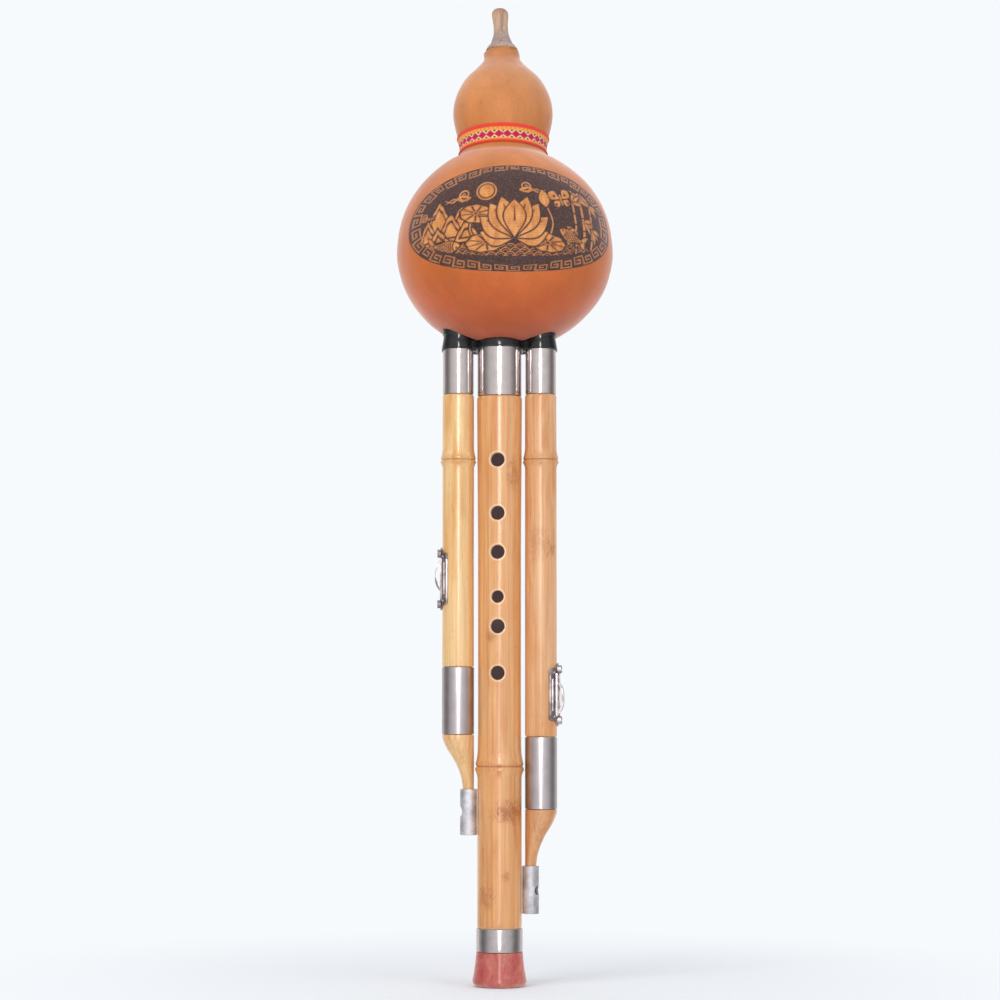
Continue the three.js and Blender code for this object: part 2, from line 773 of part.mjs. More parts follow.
function lowerFerrule(drone) {
  const inner = lower_ferrule_radius - lower_ferrule_wall;
  return turned(tubeProfile(inner, lower_ferrule_radius, drone.ferrule_low, drone.ferrule_top));
}

// The tail's narrowing, as shares: of its length from the ferrule down, and of its loss of radius
const tail_taper_shares = [
  [0, 0], [0.1, 0.045], [0.25, 0.22], [0.45, 0.55], [0.65, 0.8], [0.83, 0.94], [1, 1],
];

// A carved tail: round all the way, narrowing to its tip, and straight on the side of the melody pipe
function tail(drone) {
  const top = drone.ferrule_low - seat_gap;
  const length = top - drone.sleeve_top;
  const tenon_end = (drone.ferrule_top + drone.ferrule_low) / 2 - seat_gap;
  const rings = [[joint_radius, tenon_end, 0], [joint_radius, top, 0]];
  smoothed(tail_taper_shares, taper_tolerance_share).forEach(([down, lost]) => {
    const radius = THREE.MathUtils.lerp(lower_ferrule_radius, tip_radius, lost);
    rings.push([radius, top - down * length, lost * sleeve_offset]);
  });
  rings.push([tip_radius, drone.sleeve_top - sleeve_depth, sleeve_offset]);
  return lofted(rings, drone.toward);
}

// Round rings of [radius, height, sideways shift] joined from the top down, closed at both ends
function lofted(rings, toward) {
  const points = [];
  const corners = [];
  rings.forEach(([radius, height, shift]) => {
    for (let k = 0; k < drone_sides; k += 1) {
      const angle = (2 * Math.PI * k) / drone_sides;
      points.push(toward * shift + radius * Math.cos(angle), radius * Math.sin(angle), height);
    }
  });
  const last = rings.length - 1;
  rings.slice(1).forEach((ring, row) => {
    for (let k = 0; k < drone_sides; k += 1) {
      const next = (k + 1) % drone_sides;
      const [a, b] = [row * drone_sides + k, row * drone_sides + next];
      corners.push(a, a + drone_sides, b, b, a + drone_sides, b + drone_sides);
    }
  });
  [0, last].forEach((row) => {
    const [, height, shift] = rings[row];
    const middle = points.length / 3;
    points.push(toward * shift, 0, height);
    for (let k = 0; k < drone_sides; k += 1) {
      const [a, b] = [row * drone_sides + k, row * drone_sides + (k + 1) % drone_sides];
      corners.push(...(row === 0 ? [middle, a, b] : [middle, b, a]));
    }
  });
  const geometry = new THREE.BufferGeometry();
  geometry.setAttribute('position', new THREE.Float32BufferAttribute(points, 3));
  geometry.setIndex(corners);
  return geometry;
}

// A short thin tube on the tail's tip, open below, with a hole for a cord in its outer side
function tipSleeve(drone) {
  const inner = sleeve_radius - sleeve_wall;
  const wall = tubeProfile(inner, sleeve_radius, drone.sleeve_low, drone.sleeve_top);
  const tube = solid(turned(wall, small_sides));
  const outward = drone.toward === 1 ? Math.PI : -radians(drone.cord_hole_turn_deg);
  const hole = solid(crossRod(cord_hole_radius, 0, sleeve_radius + overrun).rotateZ(outward)
    .translate(0, 0, drone.cord_hole));
  return geometryOf(cut(tube, hole)).translate(drone.toward * sleeve_offset, 0, 0);
}

// How far from the shutter's middle the slide's window ends
function windowEnd() {
  return (slide_length + slide_travel) / 2 + seat_gap;
}

// How far from the shutter's middle each boss and its screw stand
function bossPlace() {
  return windowEnd() + boss_radius;
}

// The plate's outline, unrolled: straight flanks, a scroll at each corner and a point at each end
function plateOutline() {
  const half_length = plate_length / 2;
  const scroll_centre = half_length - plate_tip_length - plate_scroll_radius / 2;
  const flank = plate_half_width - plate_scroll_radius;
  const straight = scroll_centre - plate_scroll_radius;
  const shape = new THREE.Shape();
  shape.moveTo(-plate_half_width + edge_rib_width / 2, -straight);
  shape.absarc(-flank, -scroll_centre, plate_scroll_radius, 0.75 * Math.PI, 1.6 * Math.PI, false);
  shape.lineTo(0, -half_length);
  shape.absarc(flank, -scroll_centre, plate_scroll_radius, 1.4 * Math.PI, 2.25 * Math.PI, false);
  shape.lineTo(plate_half_width - edge_rib_width / 2, -straight);
  shape.lineTo(plate_half_width - edge_rib_width / 2, straight);
  shape.absarc(flank, scroll_centre, plate_scroll_radius, -0.25 * Math.PI, 0.6 * Math.PI, false);
  shape.lineTo(0, half_length);
  shape.absarc(-flank, scroll_centre, plate_scroll_radius, 0.4 * Math.PI, 1.25 * Math.PI, false);
  shape.lineTo(-plate_half_width + edge_rib_width / 2, straight);
  return shape;
}

// The plate in its own frame: X out of the pipe, Y round it, Z along it, with the pipe's axis at X = 0
function shutterPlate(skin_radius) {
  const inner = skin_radius + seat_gap;
  const outer = inner + plate_thickness;
  const half_length = plate_length / 2;
  const reach = outer + boss_height + overrun;
  const blank = solid(wallSector(inner, outer, plate_half_width, -half_length, half_length))
    .intersect(solid(slabAcross(plateOutline(), 0, reach)));
  const window_half = slide_foot_half_width + seat_gap;
  const window_end = windowEnd();
  const window_cut = box([0, -window_half, -window_end], [reach, window_half, window_end]);
  const rail_top = skin_radius + rail_height;
  const rail = (side) => {
    const edge = window_half + rail_width;
    const root = Math.sqrt(outer * outer - edge * edge) - plate_thickness / 4;
    const wall = box([root, Math.min(side * window_half, side * edge), -window_end],
      [rail_top, Math.max(side * window_half, side * edge), window_end]);
    const lip_edge = window_half - rail_lip;
    const lip = box([rail_top - rail_lip_thickness, Math.min(side * lip_edge, side * edge), -window_end],
      [rail_top, Math.max(side * lip_edge, side * edge), window_end]);
    return joined(solid(wall), solid(lip));
  };
  const rib_end = half_length - plate_tip_length - 2 * plate_scroll_radius;
  const rib = (side) => {
    const far = side * (plate_half_width - plate_border_width);
    const near = far - side * edge_rib_width;
    const strip = box([0, Math.min(near, far), -rib_end], [reach, Math.max(near, far), rib_end]);
    return solid(wallSector(inner, outer + edge_rib_height, plate_half_width, -rib_end, rib_end))
      .intersect(solid(strip));
  };
  const dome = (side, end) => {
    const place = half_length - plate_tip_length - plate_scroll_radius / 2;
    const flank = plate_half_width - plate_scroll_radius;
    const out = Math.sqrt(outer * outer - flank * flank) + plate_dome_lift;
    const ball = new THREE.SphereGeometry(plate_dome_radius, 2 * arc_steps, arc_steps + 2);
    return solid(ball.translate(out, side * flank, end * place));
  };
  const boss = (end) => solid(crossRod(boss_radius, inner, skin_radius + boss_height)
    .translate(0, 0, end * bossPlace()));
  const recess = (end) => {
    const seat = skin_radius + boss_height - boss_recess;
    const clear = solid(crossRod(screw_shank_radius + seat_gap, 0, reach).translate(0, 0, end * bossPlace()));
    const counterbore = solid(crossRod(screw_head_radius + seat_gap / 2, seat, reach)
      .translate(0, 0, end * bossPlace()));
    return joined(clear, counterbore);
  };
  const raised = joined(cut(blank, solid(window_cut)), rail(-1), rail(1), rib(-1), rib(1),
    dome(-1, -1), dome(1, -1), dome(-1, 1), dome(1, 1), boss(-1), boss(1));
  return cut(raised, recess(-1), recess(1));
}

// The bow's two outlines as shares: of its half length from the middle, and of its rise above the spine
const bow_outer_shares = [[-0.72, 0.55], [-0.35, 0.96], [0, 1], [0.35, 0.96], [0.72, 0.55]];
const bow_inner_shares = [[-0.55, 0.86], [0, 1], [0.55, 0.86]];

function bowPoints(shares, half_length, low, high) {
  return shares.map(([along, rise]) =>
    new THREE.Vector2(THREE.MathUtils.lerp(low, high, rise), along * half_length));
}

// The slide: a foot on the pipe's flat seat and under the rails' lips, a spine between the lips, and the bow
function shutterSlide(skin_radius) {
  const inner = skin_radius - slide_seat_depth + seat_gap;
  const half_length = slide_length / 2;
  const foot_top = inner + slide_foot_thickness;
  const foot = solid(box([inner, -slide_foot_half_width, -half_length],
    [foot_top, slide_foot_half_width, half_length]));
  const spine_top = foot_top + slide_spine_height;
  const spine = solid(box([inner + slide_foot_thickness / 2, -slide_spine_half_width, -half_length],
    [spine_top, slide_spine_half_width, half_length]));
  const crown = skin_radius + bow_height;
  const shape = new THREE.Shape();
  shape.moveTo(foot_top, -half_length);
  shape.splineThru([
    ...bowPoints(bow_outer_shares, half_length, spine_top, crown),
    new THREE.Vector2(foot_top, half_length),
  ]);
  const gap_half = bow_gap_length / 2;
  const gap = new THREE.Path();
  gap.moveTo(spine_top, -gap_half);
  gap.splineThru([
    ...bowPoints(bow_inner_shares, gap_half, spine_top, crown - bow_thickness),
    new THREE.Vector2(spine_top, gap_half),
  ]);
  shape.holes.push(gap);
  const bow = solid(slabAside(shape, bow_half_width));
  const port = solid(crossRod(vent_radius, 0, spine_top + seat_gap));
  return cut(joined(foot, spine, bow), port);
}

function shutterScrew(skin_radius) {
  const seat = skin_radius + boss_height - boss_recess + seat_gap / 2;
  const head_top = seat + screw_head_height;
  const body = solid(turned([
    [0, seat - screw_length],
    [screw_shank_radius, seat - screw_length + screw_shank_radius],
    [screw_shank_radius, seat],
    [screw_head_radius, seat],
    [screw_head_radius, seat + screw_head_height / 2],
    [screw_head_radius / 2, head_top],
    [0, head_top],
  ], hidden_sides).rotateY(Math.PI / 2));
  const half = screw_slot_width / 2;
  const slot = solid(box([seat + screw_head_height / 2, -screw_head_radius - overrun, -half],
    [head_top + overrun, screw_head_radius + overrun, half]));
  return cut(body, slot);
}

function finish(colour, roughness, metalness) {
  return new THREE.MeshStandardMaterial({ color: colour, roughness, metalness, flatShading: true });
}

const looks = {
  gourd: finish('#c9834a', 0.35, 0),
  stem: finish('#c9ab90', 0.6, 0),
  ribbon: finish('#d8453a', 0.9, 0),
  black: finish('#16171a', 0.15, 0),
  melody_bamboo: finish('#dda06a', 0.35, 0),
  left_bamboo: finish('#ebbf78', 0.35, 0),
  right_bamboo: finish('#e2a878', 0.35, 0),
  steel: finish('#c4bdb8', 0.2, 1),
  brushed: finish('#b9aeb2', 0.4, 1),
  sleeve: finish('#b4b3b8', 0.5, 1),
  silver: finish('#b5a9ad', 0.3, 1),
  agate: finish('#c4604e', 0.15, 0),
  brass: finish('#c8a24a', 0.3, 1),
  rubber: finish('#3a3a3c', 0.8, 0),
  reed_wood: finish('#b98c58', 0.6, 0),
};

function mesh(name, made, material) {
  const geometry = closed(made.isBufferGeometry ? made : geometryOf(made));
  const piece = new THREE.Mesh(geometry, material);
  piece.name = name;
  return piece;
}

const group = new THREE.Group();

const leaning = new THREE.Group();
leaning.position.set(0, 0, rim_height);
leaning.rotation.set(-lean, 0, 0);
leaning.add(
  mesh('gourd_shell', gourdShell(), looks.gourd),
  mesh('mouthpiece', mouthpiece(), looks.stem),
  mesh('neck_ribbon', neckRibbon(), looks.ribbon),
);
group.add(leaning, mesh('pipe_base', pipeBase(), looks.black));

// What every pipe has at its top: its ferrule, seal and reed
function addPipeTop(holder, side, sizes) {
  const { bore, tube, tenon, ferrule, lip } = sizes;
  holder.add(
    mesh(`${side}_top_ferrule`, topFerrule(ferrule, tenon, lip), looks.steel),
    mesh(`${side}_seal`, seal(tenon), looks.rubber),
    mesh(`${side}_reed_tube`, reedTube(bore, tube), looks.reed_wood),
    mesh(`${side}_reed_plate`, reedPlate(tube), looks.brass),
    mesh(`${side}_reed_plug`, reedPlug(bore, tube), looks.reed_wood),
  );
}

const melody = new THREE.Group();
melody.add(
  mesh('melody_pipe', melodyPipe(), looks.melody_bamboo),
  mesh('bell_ferrule', bellFerrule(), looks.brushed),
  mesh('bell', bell(), looks.agate),
);
addPipeTop(melody, 'melody', {
  bore: melody_bore_radius,
  tube: melody_bore_radius - seat_gap,
  tenon: melody_tenon_radius,
  ferrule: melody_ferrule_radius,
  lip: melody_lip_radius,
});
group.add(melody);

function shutter(drone) {
  const { side } = drone;
  const skin = droneRadiusAt(drone.shutter);
  const holder = new THREE.Group();
  const slide = mesh(`${side}_shutter_slide`, shutterSlide(skin), looks.silver);
  slide.position.set(0, 0, slide_travel / 2);
  const screws = ['low', 'high'].map((end, i) => {
    const screw = mesh(`${side}_shutter_screw_${end}`, shutterScrew(skin), looks.silver);
    screw.position.set(0, 0, (2 * i - 1) * bossPlace());
    return screw;
  });
  holder.add(mesh(`${side}_shutter_plate`, shutterPlate(skin), looks.silver), slide, ...screws);
  holder.position.set(0, 0, drone.shutter);
  // The right shutter is the left one turned end for end, so it slides up where the left slides down
  if (drone.toward === 1) holder.rotation.set(0, 0, Math.PI);
  else holder.rotation.set(Math.PI, 0, -radians(drone.shutter_turn_deg), 'ZYX');
  return holder;
}

for (const drone of [left_drone, right_drone]) {
  const { side, toward } = drone;
  const holder = new THREE.Group();
  const bamboo = toward === 1 ? looks.left_bamboo : looks.right_bamboo;
  holder.add(
    mesh(`${side}_drone_pipe`, dronePipe(drone), bamboo),
    mesh(`${side}_lower_ferrule`, lowerFerrule(drone), looks.brushed),
    mesh(`${side}_tail`, tail(drone), bamboo),
    mesh(`${side}_tip_sleeve`, tipSleeve(drone), looks.sleeve),
    shutter(drone),
  );
  addPipeTop(holder, side, {
    bore: drone_bore_radius,
    tube: drone_reed_tube_radius,
    tenon: drone_tenon_radius,
    ferrule: drone_ferrule_radius,
    lip: drone_lip_radius,
  });
  holder.position.set(-toward * drone_spacing, 0, 0);
  group.add(holder);
}

export default group;
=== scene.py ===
"""The looks of a hulusi gourd flute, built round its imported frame. Sizes in the tables are in millimetres."""

import json
import math

import bmesh
import bpy
import numpy as np
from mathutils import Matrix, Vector


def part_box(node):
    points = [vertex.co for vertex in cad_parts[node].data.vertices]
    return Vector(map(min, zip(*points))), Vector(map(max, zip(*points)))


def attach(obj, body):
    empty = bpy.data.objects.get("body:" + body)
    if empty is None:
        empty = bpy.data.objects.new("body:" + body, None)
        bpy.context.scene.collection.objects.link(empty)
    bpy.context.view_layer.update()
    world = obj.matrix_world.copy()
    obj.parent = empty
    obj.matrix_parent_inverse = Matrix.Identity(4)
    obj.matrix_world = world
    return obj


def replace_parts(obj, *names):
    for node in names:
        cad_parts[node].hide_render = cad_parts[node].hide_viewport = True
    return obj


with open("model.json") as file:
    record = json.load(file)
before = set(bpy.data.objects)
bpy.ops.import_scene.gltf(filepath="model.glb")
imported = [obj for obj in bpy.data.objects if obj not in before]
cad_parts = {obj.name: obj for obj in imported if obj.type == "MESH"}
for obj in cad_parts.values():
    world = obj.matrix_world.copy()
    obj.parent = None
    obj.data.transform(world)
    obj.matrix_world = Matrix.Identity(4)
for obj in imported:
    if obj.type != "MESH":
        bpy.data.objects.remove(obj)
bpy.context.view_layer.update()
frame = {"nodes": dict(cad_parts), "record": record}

MM = 0.001
RIM = 292.4  # the plane of the collars' rims, where the gourd's own leaning frame starts
LEAN = math.radians(8.5)
DRONE_X = 19.15
BELLY = 50.4
GOURD_WALL = 3.5
GOURD_LOW, GOURD_HIGH = 3.3, 148.0
GOURD_SWAY, NECK_SWAY = 2.5, 1.25


# Shapes


def rings(rows, columns, ring_rows=False):
    """Four-cornered faces on a grid whose columns, and its rows if asked, close into a ring."""
    r, c = np.meshgrid(np.arange(rows if ring_rows else rows - 1), np.arange(columns), indexing="ij")
    r2, c2 = (r + 1) % rows, (c + 1) % columns
    corners = [r * columns + c, r * columns + c2, r2 * columns + c2, r2 * columns + c]
    return np.stack(corners, -1).reshape(-1, 4)


def mesh_object(name, points, faces, material):
    """An object in the scene, its mesh made from points in metres."""
    mesh = bpy.data.meshes.new(name)
    mesh.from_pydata(np.asarray(points).tolist(), [], faces)
    mesh.materials.append(material)
    made = bpy.data.objects.new(name, mesh)
    bpy.context.scene.collection.objects.link(made)
    return made


def piece(name, points, body, material, faces=None, uv=None, values=None, sharp=40):
    """A closed piece from points in millimetres, right side out, smooth but for edges sharper than an angle.
    Without faces, the grid of its points closes into a ring both ways."""
    points = np.asarray(points, float)
    if faces is None:
        faces = rings(*points.shape[:2], ring_rows=True)
    points = points.reshape(-1, 3)
    a, b, c, d = (points[faces[:, k]] for k in range(4))
    volume = np.sum(a * np.cross(b, c) + a * np.cross(c, d))
    if volume < 0:
        faces = faces[:, ::-1]
    made = mesh_object(name, points * MM, faces.tolist(), material)
    mesh = made.data
    mesh.polygons.foreach_set("use_smooth", np.ones(len(faces), bool))
    if uv is not None:
        corners = np.asarray(uv, np.float32).reshape(-1, 2)[faces.ravel()]
        mesh.uv_layers.new(name="UVMap").data.foreach_set("uv", corners.ravel())
    for key, value in (values or {}).items():
        attribute = mesh.attributes.new(key, "FLOAT", "POINT")
        attribute.data.foreach_set("value", np.asarray(value, np.float32).ravel())
    mesh.update()
    mesh.set_sharp_from_angle(angle=math.radians(sharp))
    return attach(made, body)


def smooth(t):
    """Smooth step of a value between 0 and 1."""
    return t * t * (3 - 2 * t)


def curve_through(points, steps):
    """Uniform Catmull-Rom curve: cubics whose slope at each point is half the chord of its neighbours."""
    p = np.asarray(points)
    last = len(p) - 1
    a, b = p[np.r_[0, 0 : last - 1]][:, None], p[:-1][:, None]
    c, d = p[1:][:, None], p[np.r_[2 : last + 1, last]][:, None]
    t = np.linspace(0, 1, steps, endpoint=False).reshape(-1, *[1] * (p.ndim - 1))
    slope_b, slope_c = (c - a) / 2, (d - b) / 2
    cube = 2 * b - 2 * c + slope_b + slope_c
    square = 3 * c - 3 * b - 2 * slope_b - slope_c
    spans = cube * t**3 + square * t**2 + slope_b * t + b
    return np.concatenate([spans.reshape(-1, *p.shape[1:]), p[-1:]])


def turns(count, first=0.0):
    """Even steps of one whole turn, counted to the right from the front."""
    return first + 2 * np.pi * np.arange(count) / count


def near_zero(turn):
    """A turn brought to within half a turn either way."""
    return (turn + np.pi) % (2 * np.pi) - np.pi


def about_axis(radius, turn, height):
    """Points at a radius, a turn and a height: x is radius times the sine, y minus the cosine."""
    return np.stack(np.broadcast_arrays(radius * np.sin(turn), -radius * np.cos(turn), height), -1)


def turned_piece(name, profile, body, material, x=0.0):
    """A closed outline of [radius, height] turned all the way round."""
    radius, height = np.asarray(profile, float).T[..., None]
    return piece(name, about_axis(radius, turns(128), height) + np.array([x, 0, 0]), body, material)


# The gourd's outline and stance, shared by the shell, the ribbon and the mouthpiece

GOURD_SHARES = [
    [0, 0], [0.237, 0.004], [0.471, 0.03], [0.716, 0.088], [0.91, 0.175], [1, 0.275],
    [0.992, 0.362], [0.94, 0.434], [0.84, 0.5], [0.719, 0.55], [0.578, 0.592], [0.44, 0.624],
    [0.396, 0.664], [0.439, 0.721], [0.469, 0.779], [0.448, 0.836], [0.367, 0.894],
    [0.251, 0.937], [0.181, 0.966], [0.165, 0.983], [0.168, 0.992], [0.163, 1],
]  # fmt: skip
SWAY_SHARES = np.array([[0, 0], [0.05, 0.7], [0.2, 1], [0.5, 1], [0.65, 0.68], [0.9, 0.64], [1, 0.5]])

outline = curve_through([[r * BELLY, GOURD_LOW + h * (GOURD_HIGH - GOURD_LOW)] for r, h in GOURD_SHARES], 60)
outline_run = np.r_[0, np.cumsum(np.hypot(*np.diff(outline, axis=0).T))]
outline_slope = np.gradient(outline, axis=0)
outline_slope /= np.hypot(*outline_slope.T)[:, None]


def skin_at(run, out=0.0):
    """Radius and height at a run along the outline from its lowest point, moved out along its normal."""
    lines = (*outline.T, *outline_slope.T)
    radius, height, along_r, along_h = (np.interp(run, outline_run, line) for line in lines)
    return radius + out * along_h, height - out * along_r


def sway_at(height):
    """Sideways shift of the grown gourd: a table of shares of its most, joined by smooth steps."""
    places, shifts = SWAY_SHARES.T
    share = np.clip((height - GOURD_LOW) / (GOURD_HIGH - GOURD_LOW), 0, 1)
    at = np.clip(np.searchsorted(places, share, side="right") - 1, 0, len(places) - 2)
    part = smooth((share - places[at]) / (places[at + 1] - places[at]))
    return GOURD_SWAY * (shifts[at] + part * (shifts[at + 1] - shifts[at]))


def leaning(x, y, z):
    """From the gourd's own frame to the row's: turned about X by the lean, then lifted to the rims' plane."""
    c, s = math.cos(LEAN), math.sin(LEAN)
    return np.stack([x, y * c + z * s, RIM - y * s + z * c], -1)


def swayed(radius, turn, height, aside):
    """A point round the gourd's own axis, moved aside by the gourd's sway, in the row's frame."""
    return leaning(radius * np.sin(turn) + aside, -radius * np.cos(turn), height)


def gourd_point(run, turn, out=0.0):
    """A point at a run along the gourd's outline and a turn from its front, moved out from its skin."""
    radius, height = skin_at(run, out)
    return swayed(radius, turn, height, sway_at(height))


def in_base(points):
    """Whether points lie inside the three-lobed opening for the base, seen along the pipes."""
    side_lobe, middle_lobe, half_web = 7.25, 10.9, 4.5
    x, y = points[..., 0], points[..., 1]
    lobes = ((-DRONE_X, side_lobe), (0, middle_lobe), (DRONE_X, side_lobe))
    web = (abs(x) < DRONE_X) & (abs(y) < half_web)
    return np.any([web, *(np.hypot(x - at, y) < radius for at, radius in lobes)], 0)


def opening_run(turn, out):
    """For each turn, how far along the outline the opening reaches."""
    farthest, samples = 40, 1601
    run = np.linspace(0, farthest, samples)
    inside = in_base(gourd_point(run[None, :], turn[:, None], out))
    return run[samples - 1 - np.argmax(inside[:, ::-1], 1)]


# The engraved panel, as signed distances in millimetres, above zero on bare skin. A place on it is a complex
# number: to the right and, as the imaginary part, up from its centre

PANEL_TURN = math.radians(5.5)
PANEL_RUN = 78.8
PANEL_TILT = 0.022
PANEL_WIDE = 58.6
PANEL_HIGH = 27.3
RING_WIDTH = 5.1
RING_WIDER_ABOVE = 0.6
RING_WIDER_BELOW = 0.3
KEYS = 19


def heading(angle):
    """One millimetre along an angle in degrees."""
    return complex(math.cos(math.radians(angle)), math.sin(math.radians(angle)))


def own_frame(p, at, angle):
    """A place seen from another one, turned so that the angle points to the right."""
    return (p - at) * heading(-angle)


def nothing(p):
    """Ground with no shape on it."""
    return np.full(p.shape, -9.0)


def disc(p, at, radius):
    """Radius less the distance to the centre."""
    return radius - abs(p - at)


def ring_line(p, at, radius, width):
    """Half the width less the distance to a circle."""
    return width / 2 - abs(abs(p - at) - radius)


def stroke(p, points, width, end_width=None):
    """Half the width less the distance to a chain of straight pieces, the width changing evenly along it."""
    widths = np.linspace(width, width if end_width is None else end_width, len(points))
    best = np.full(p.shape, -1e3)
    for a, b, w, w2 in zip(points, points[1:], widths, widths[1:]):
        t = np.clip(((p - a) / (b - a)).real, 0, 1)
        best = np.maximum(best, (w + t * (w2 - w)) / 2 - abs(p - a - t * (b - a)))
    return best


def leaf(p, at, angle, length, width, bend=0.0, fullest=0.5):
    """A pointed leaf along an angle: its half width follows half a sine, and so does its middle's bend."""
    q = own_frame(p, at, angle)
    t = np.clip(q.real / length, 0, 1)
    wave = np.sin(np.pi * t ** (math.log(0.5) / math.log(fullest)))
    inside = width / 2 * wave - abs(q.imag - bend * np.sin(np.pi * t))
    return np.where((q.real >= 0) & (q.real <= length), inside, -abs(q - t * length))


def laid(ground, shape, gap=0.5):
    """A shape laid over what is there, with a burnt line round it."""
    return np.maximum(np.minimum(ground, -(shape + gap)), shape)


def scored(ground, line):
    """A burnt line cut into what is there."""
    return np.minimum(ground, -line)


def ring_place(u, v):
    """How deep inside the panel's edge a point is, in millimetres at its two ends and in longer ones above
    and below, where the border is wider, and how many hooks of the border it is from the right-hand end,
    counted both ways round along an ellipse in the middle of the border."""
    depth = np.zeros_like(u)
    for _ in range(4):
        angle = np.arctan2(abs(v) / (PANEL_HIGH - depth), u / (PANEL_WIDE - depth))
        edge = np.hypot(PANEL_WIDE * np.cos(angle), PANEL_HIGH * np.sin(angle))
        slope = np.hypot(PANEL_HIGH * np.cos(angle), PANEL_WIDE * np.sin(angle)) / edge
        depth = np.clip((edge - np.hypot(u, v)) * slope, -3, 2 * RING_WIDTH)
    table = np.linspace(0, np.pi, 2001)
    middle = RING_WIDTH / 2
    step = np.hypot((PANEL_WIDE - middle) * np.sin(table), (PANEL_HIGH - middle) * np.cos(table))
    run = np.r_[0, np.cumsum((step[1:] + step[:-1]) / 2)]
    wider = 1 + np.where(v > 0, RING_WIDER_ABOVE, RING_WIDER_BELOW) * np.sin(angle) ** 2
    return depth / wider, np.interp(angle, table, run * KEYS / run[-1])


def mountains(p):
    """Three ridges, each a sum of peaks, with scored lines that follow them."""
    ground = nothing(p)
    for base, peaks in (
        (-9.0, ((-37, 17.5, 9.5), (-25, 13.5, 7.5))),
        (-10.5, ((-43.5, 11, 6.5), (-30.5, 12.0, 7.0))),
        (-11.5, ((-37.5, 7.0, 6.0), (-22.5, 8.5, 6.5))),
    ):
        ridge = np.max([high * (1 - (abs(p.real - x) / half) ** 1.25) for x, high, half in peaks], 0)
        ridge = np.maximum(ridge, -50.0)
        ridge = ridge + base + 0.35 * np.sin(p.real * 2.3) * np.clip(ridge / 6, 0, 1)
        shape = np.minimum((ridge - p.imag) * 0.55, p.imag - base + 0.6)
        ground = laid(ground, scored(shape, 0.24 - abs(shape - 1.7) * 0.9), 0.55)
    return ground


def lotus(p, at, size):
    """An open lotus: petals fanned from one point, the outer ones behind, each with a scored rib."""
    ground = nothing(p)
    for angle, length, width, bend in (
        (168, 12.5, 5.0, 1.6), (12, 12.5, 5.0, -1.6), (146, 14.5, 6.0, 1.2), (34, 14.5, 6.0, -1.2),
        (124, 15.5, 6.6, 0.6), (56, 15.5, 6.6, -0.6), (107, 16.0, 6.4, 0.2), (73, 16.0, 6.4, -0.2),
        (90, 14.2, 7.6, 0.0),
    ):  # fmt: skip
        shape = leaf(p, at, angle, length * size, width * size, bend * size, 0.56)
        rib = [at + length * size * f * heading(angle) for f in (0.45, 0.62, 0.8)]
        ground = laid(ground, scored(shape, stroke(p, rib, 0.5, 0.3)))
    return ground


def water_leaf(p, at, wide, high, turn):
    """A lily pad seen aslant: an ellipse with a wavy rim, scored with ribs from its heart."""
    q = own_frame(p, at, turn)
    q = q.real / wide + 1j * q.imag / high
    angle, reach, mean = np.angle(q), abs(q), (high + wide) / 2
    shape = (1 + 0.035 * np.sin(9 * angle) - reach) * mean * 0.8
    ribs = 0.22 - abs(np.sin(4.5 * angle + 0.6)) * reach * mean * 0.22
    ribs = np.min([ribs, (reach - 0.22) * high, (0.86 - reach) * high], 0)
    return scored(scored(shape, ribs), (0.1 - reach) * high)


def bamboo_grove(p):
    """Stalks in short lengths with gaps at the nodes, and clusters of narrow leaves."""
    ground = nothing(p)
    for foot, head, width, cuts in (
        (36.5 - 15.5j, 33.6 + 15.0j, 1.7, 5), (41.2 - 12.5j, 40.2 + 11.5j, 1.4, 4),
        (31.8 - 17.0j, 28.9 + 9.5j, 1.2, 5),
    ):  # fmt: skip
        stalk = stroke(p, [foot, head], width)
        for cut in foot + np.arange(1, cuts) / cuts * (head - foot):
            stalk = scored(stalk, stroke(p, [cut - 1.2, cut + 1.2], 0.5))
        ground = laid(ground, stalk, 0.45)
    for at, angles in (
        (33.8 + 13.2j, (150, 182, 212, 28, -2, -32)), (40.3 + 10.2j, (128, 162, -14, -44)),
        (29.2 + 9.4j, (78, 40, -6)), (35.2 + 1.2j, (-22, -50, 8)),
        (40.8 - 1.8j, (-40, -68, -12)), (30.6 - 4.0j, (196, 224, 168)),
    ):  # fmt: skip
        for k, angle in enumerate(angles):
            ground = laid(ground, leaf(p, at, angle, 6.4 + 0.9 * (k % 2), 1.9, 0.35, 0.4), 0.32)
    return ground


def carp(p, at, angle, size, bend):
    """A fish: a bent leaf for its body, smaller leaves for tail and fins, scored with scales and a gill."""
    q = own_frame(p, at, angle) / size
    q = q - 1j * bend * np.sin(np.pi * np.clip(q.real / 16, 0, 1.3))
    tail_and_fins = (
        (14.2, 38, 5.6, 2.6, -0.5), (14.2, -38, 5.6, 2.6, 0.5),
        (5.2 + 1.5j, 52, 4.6, 2.4, -0.5), (5.6 - 1.6j, -48, 3.9, 2.2, 0.4),
    )  # fmt: skip
    fins = np.max([leaf(q, *values) for values in tail_and_fins], 0)
    along = q.real - 4.3
    row = np.floor(along / 1.15)
    shift = (q.imag / 1.3 + 0.5 * (row % 2)) % 1 - 0.5
    scales = 0.16 - abs(np.hypot(along - row * 1.15 - 0.1, shift * 1.3) - 0.72)
    body = leaf(q, 0, 0, 15.8, 5.6, 0, 0.4)
    body = scored(body, np.min([scales, q.real - 4.6, 13.4 - q.real, 2.1 - abs(q.imag)], 0))
    body = scored(body, np.minimum(ring_line(q, 1.2, 2.9, 0.42), q.real - 3))
    return laid(fins, scored(body, disc(q, 1.9 + 0.75j, 0.42)), 0.32) * size


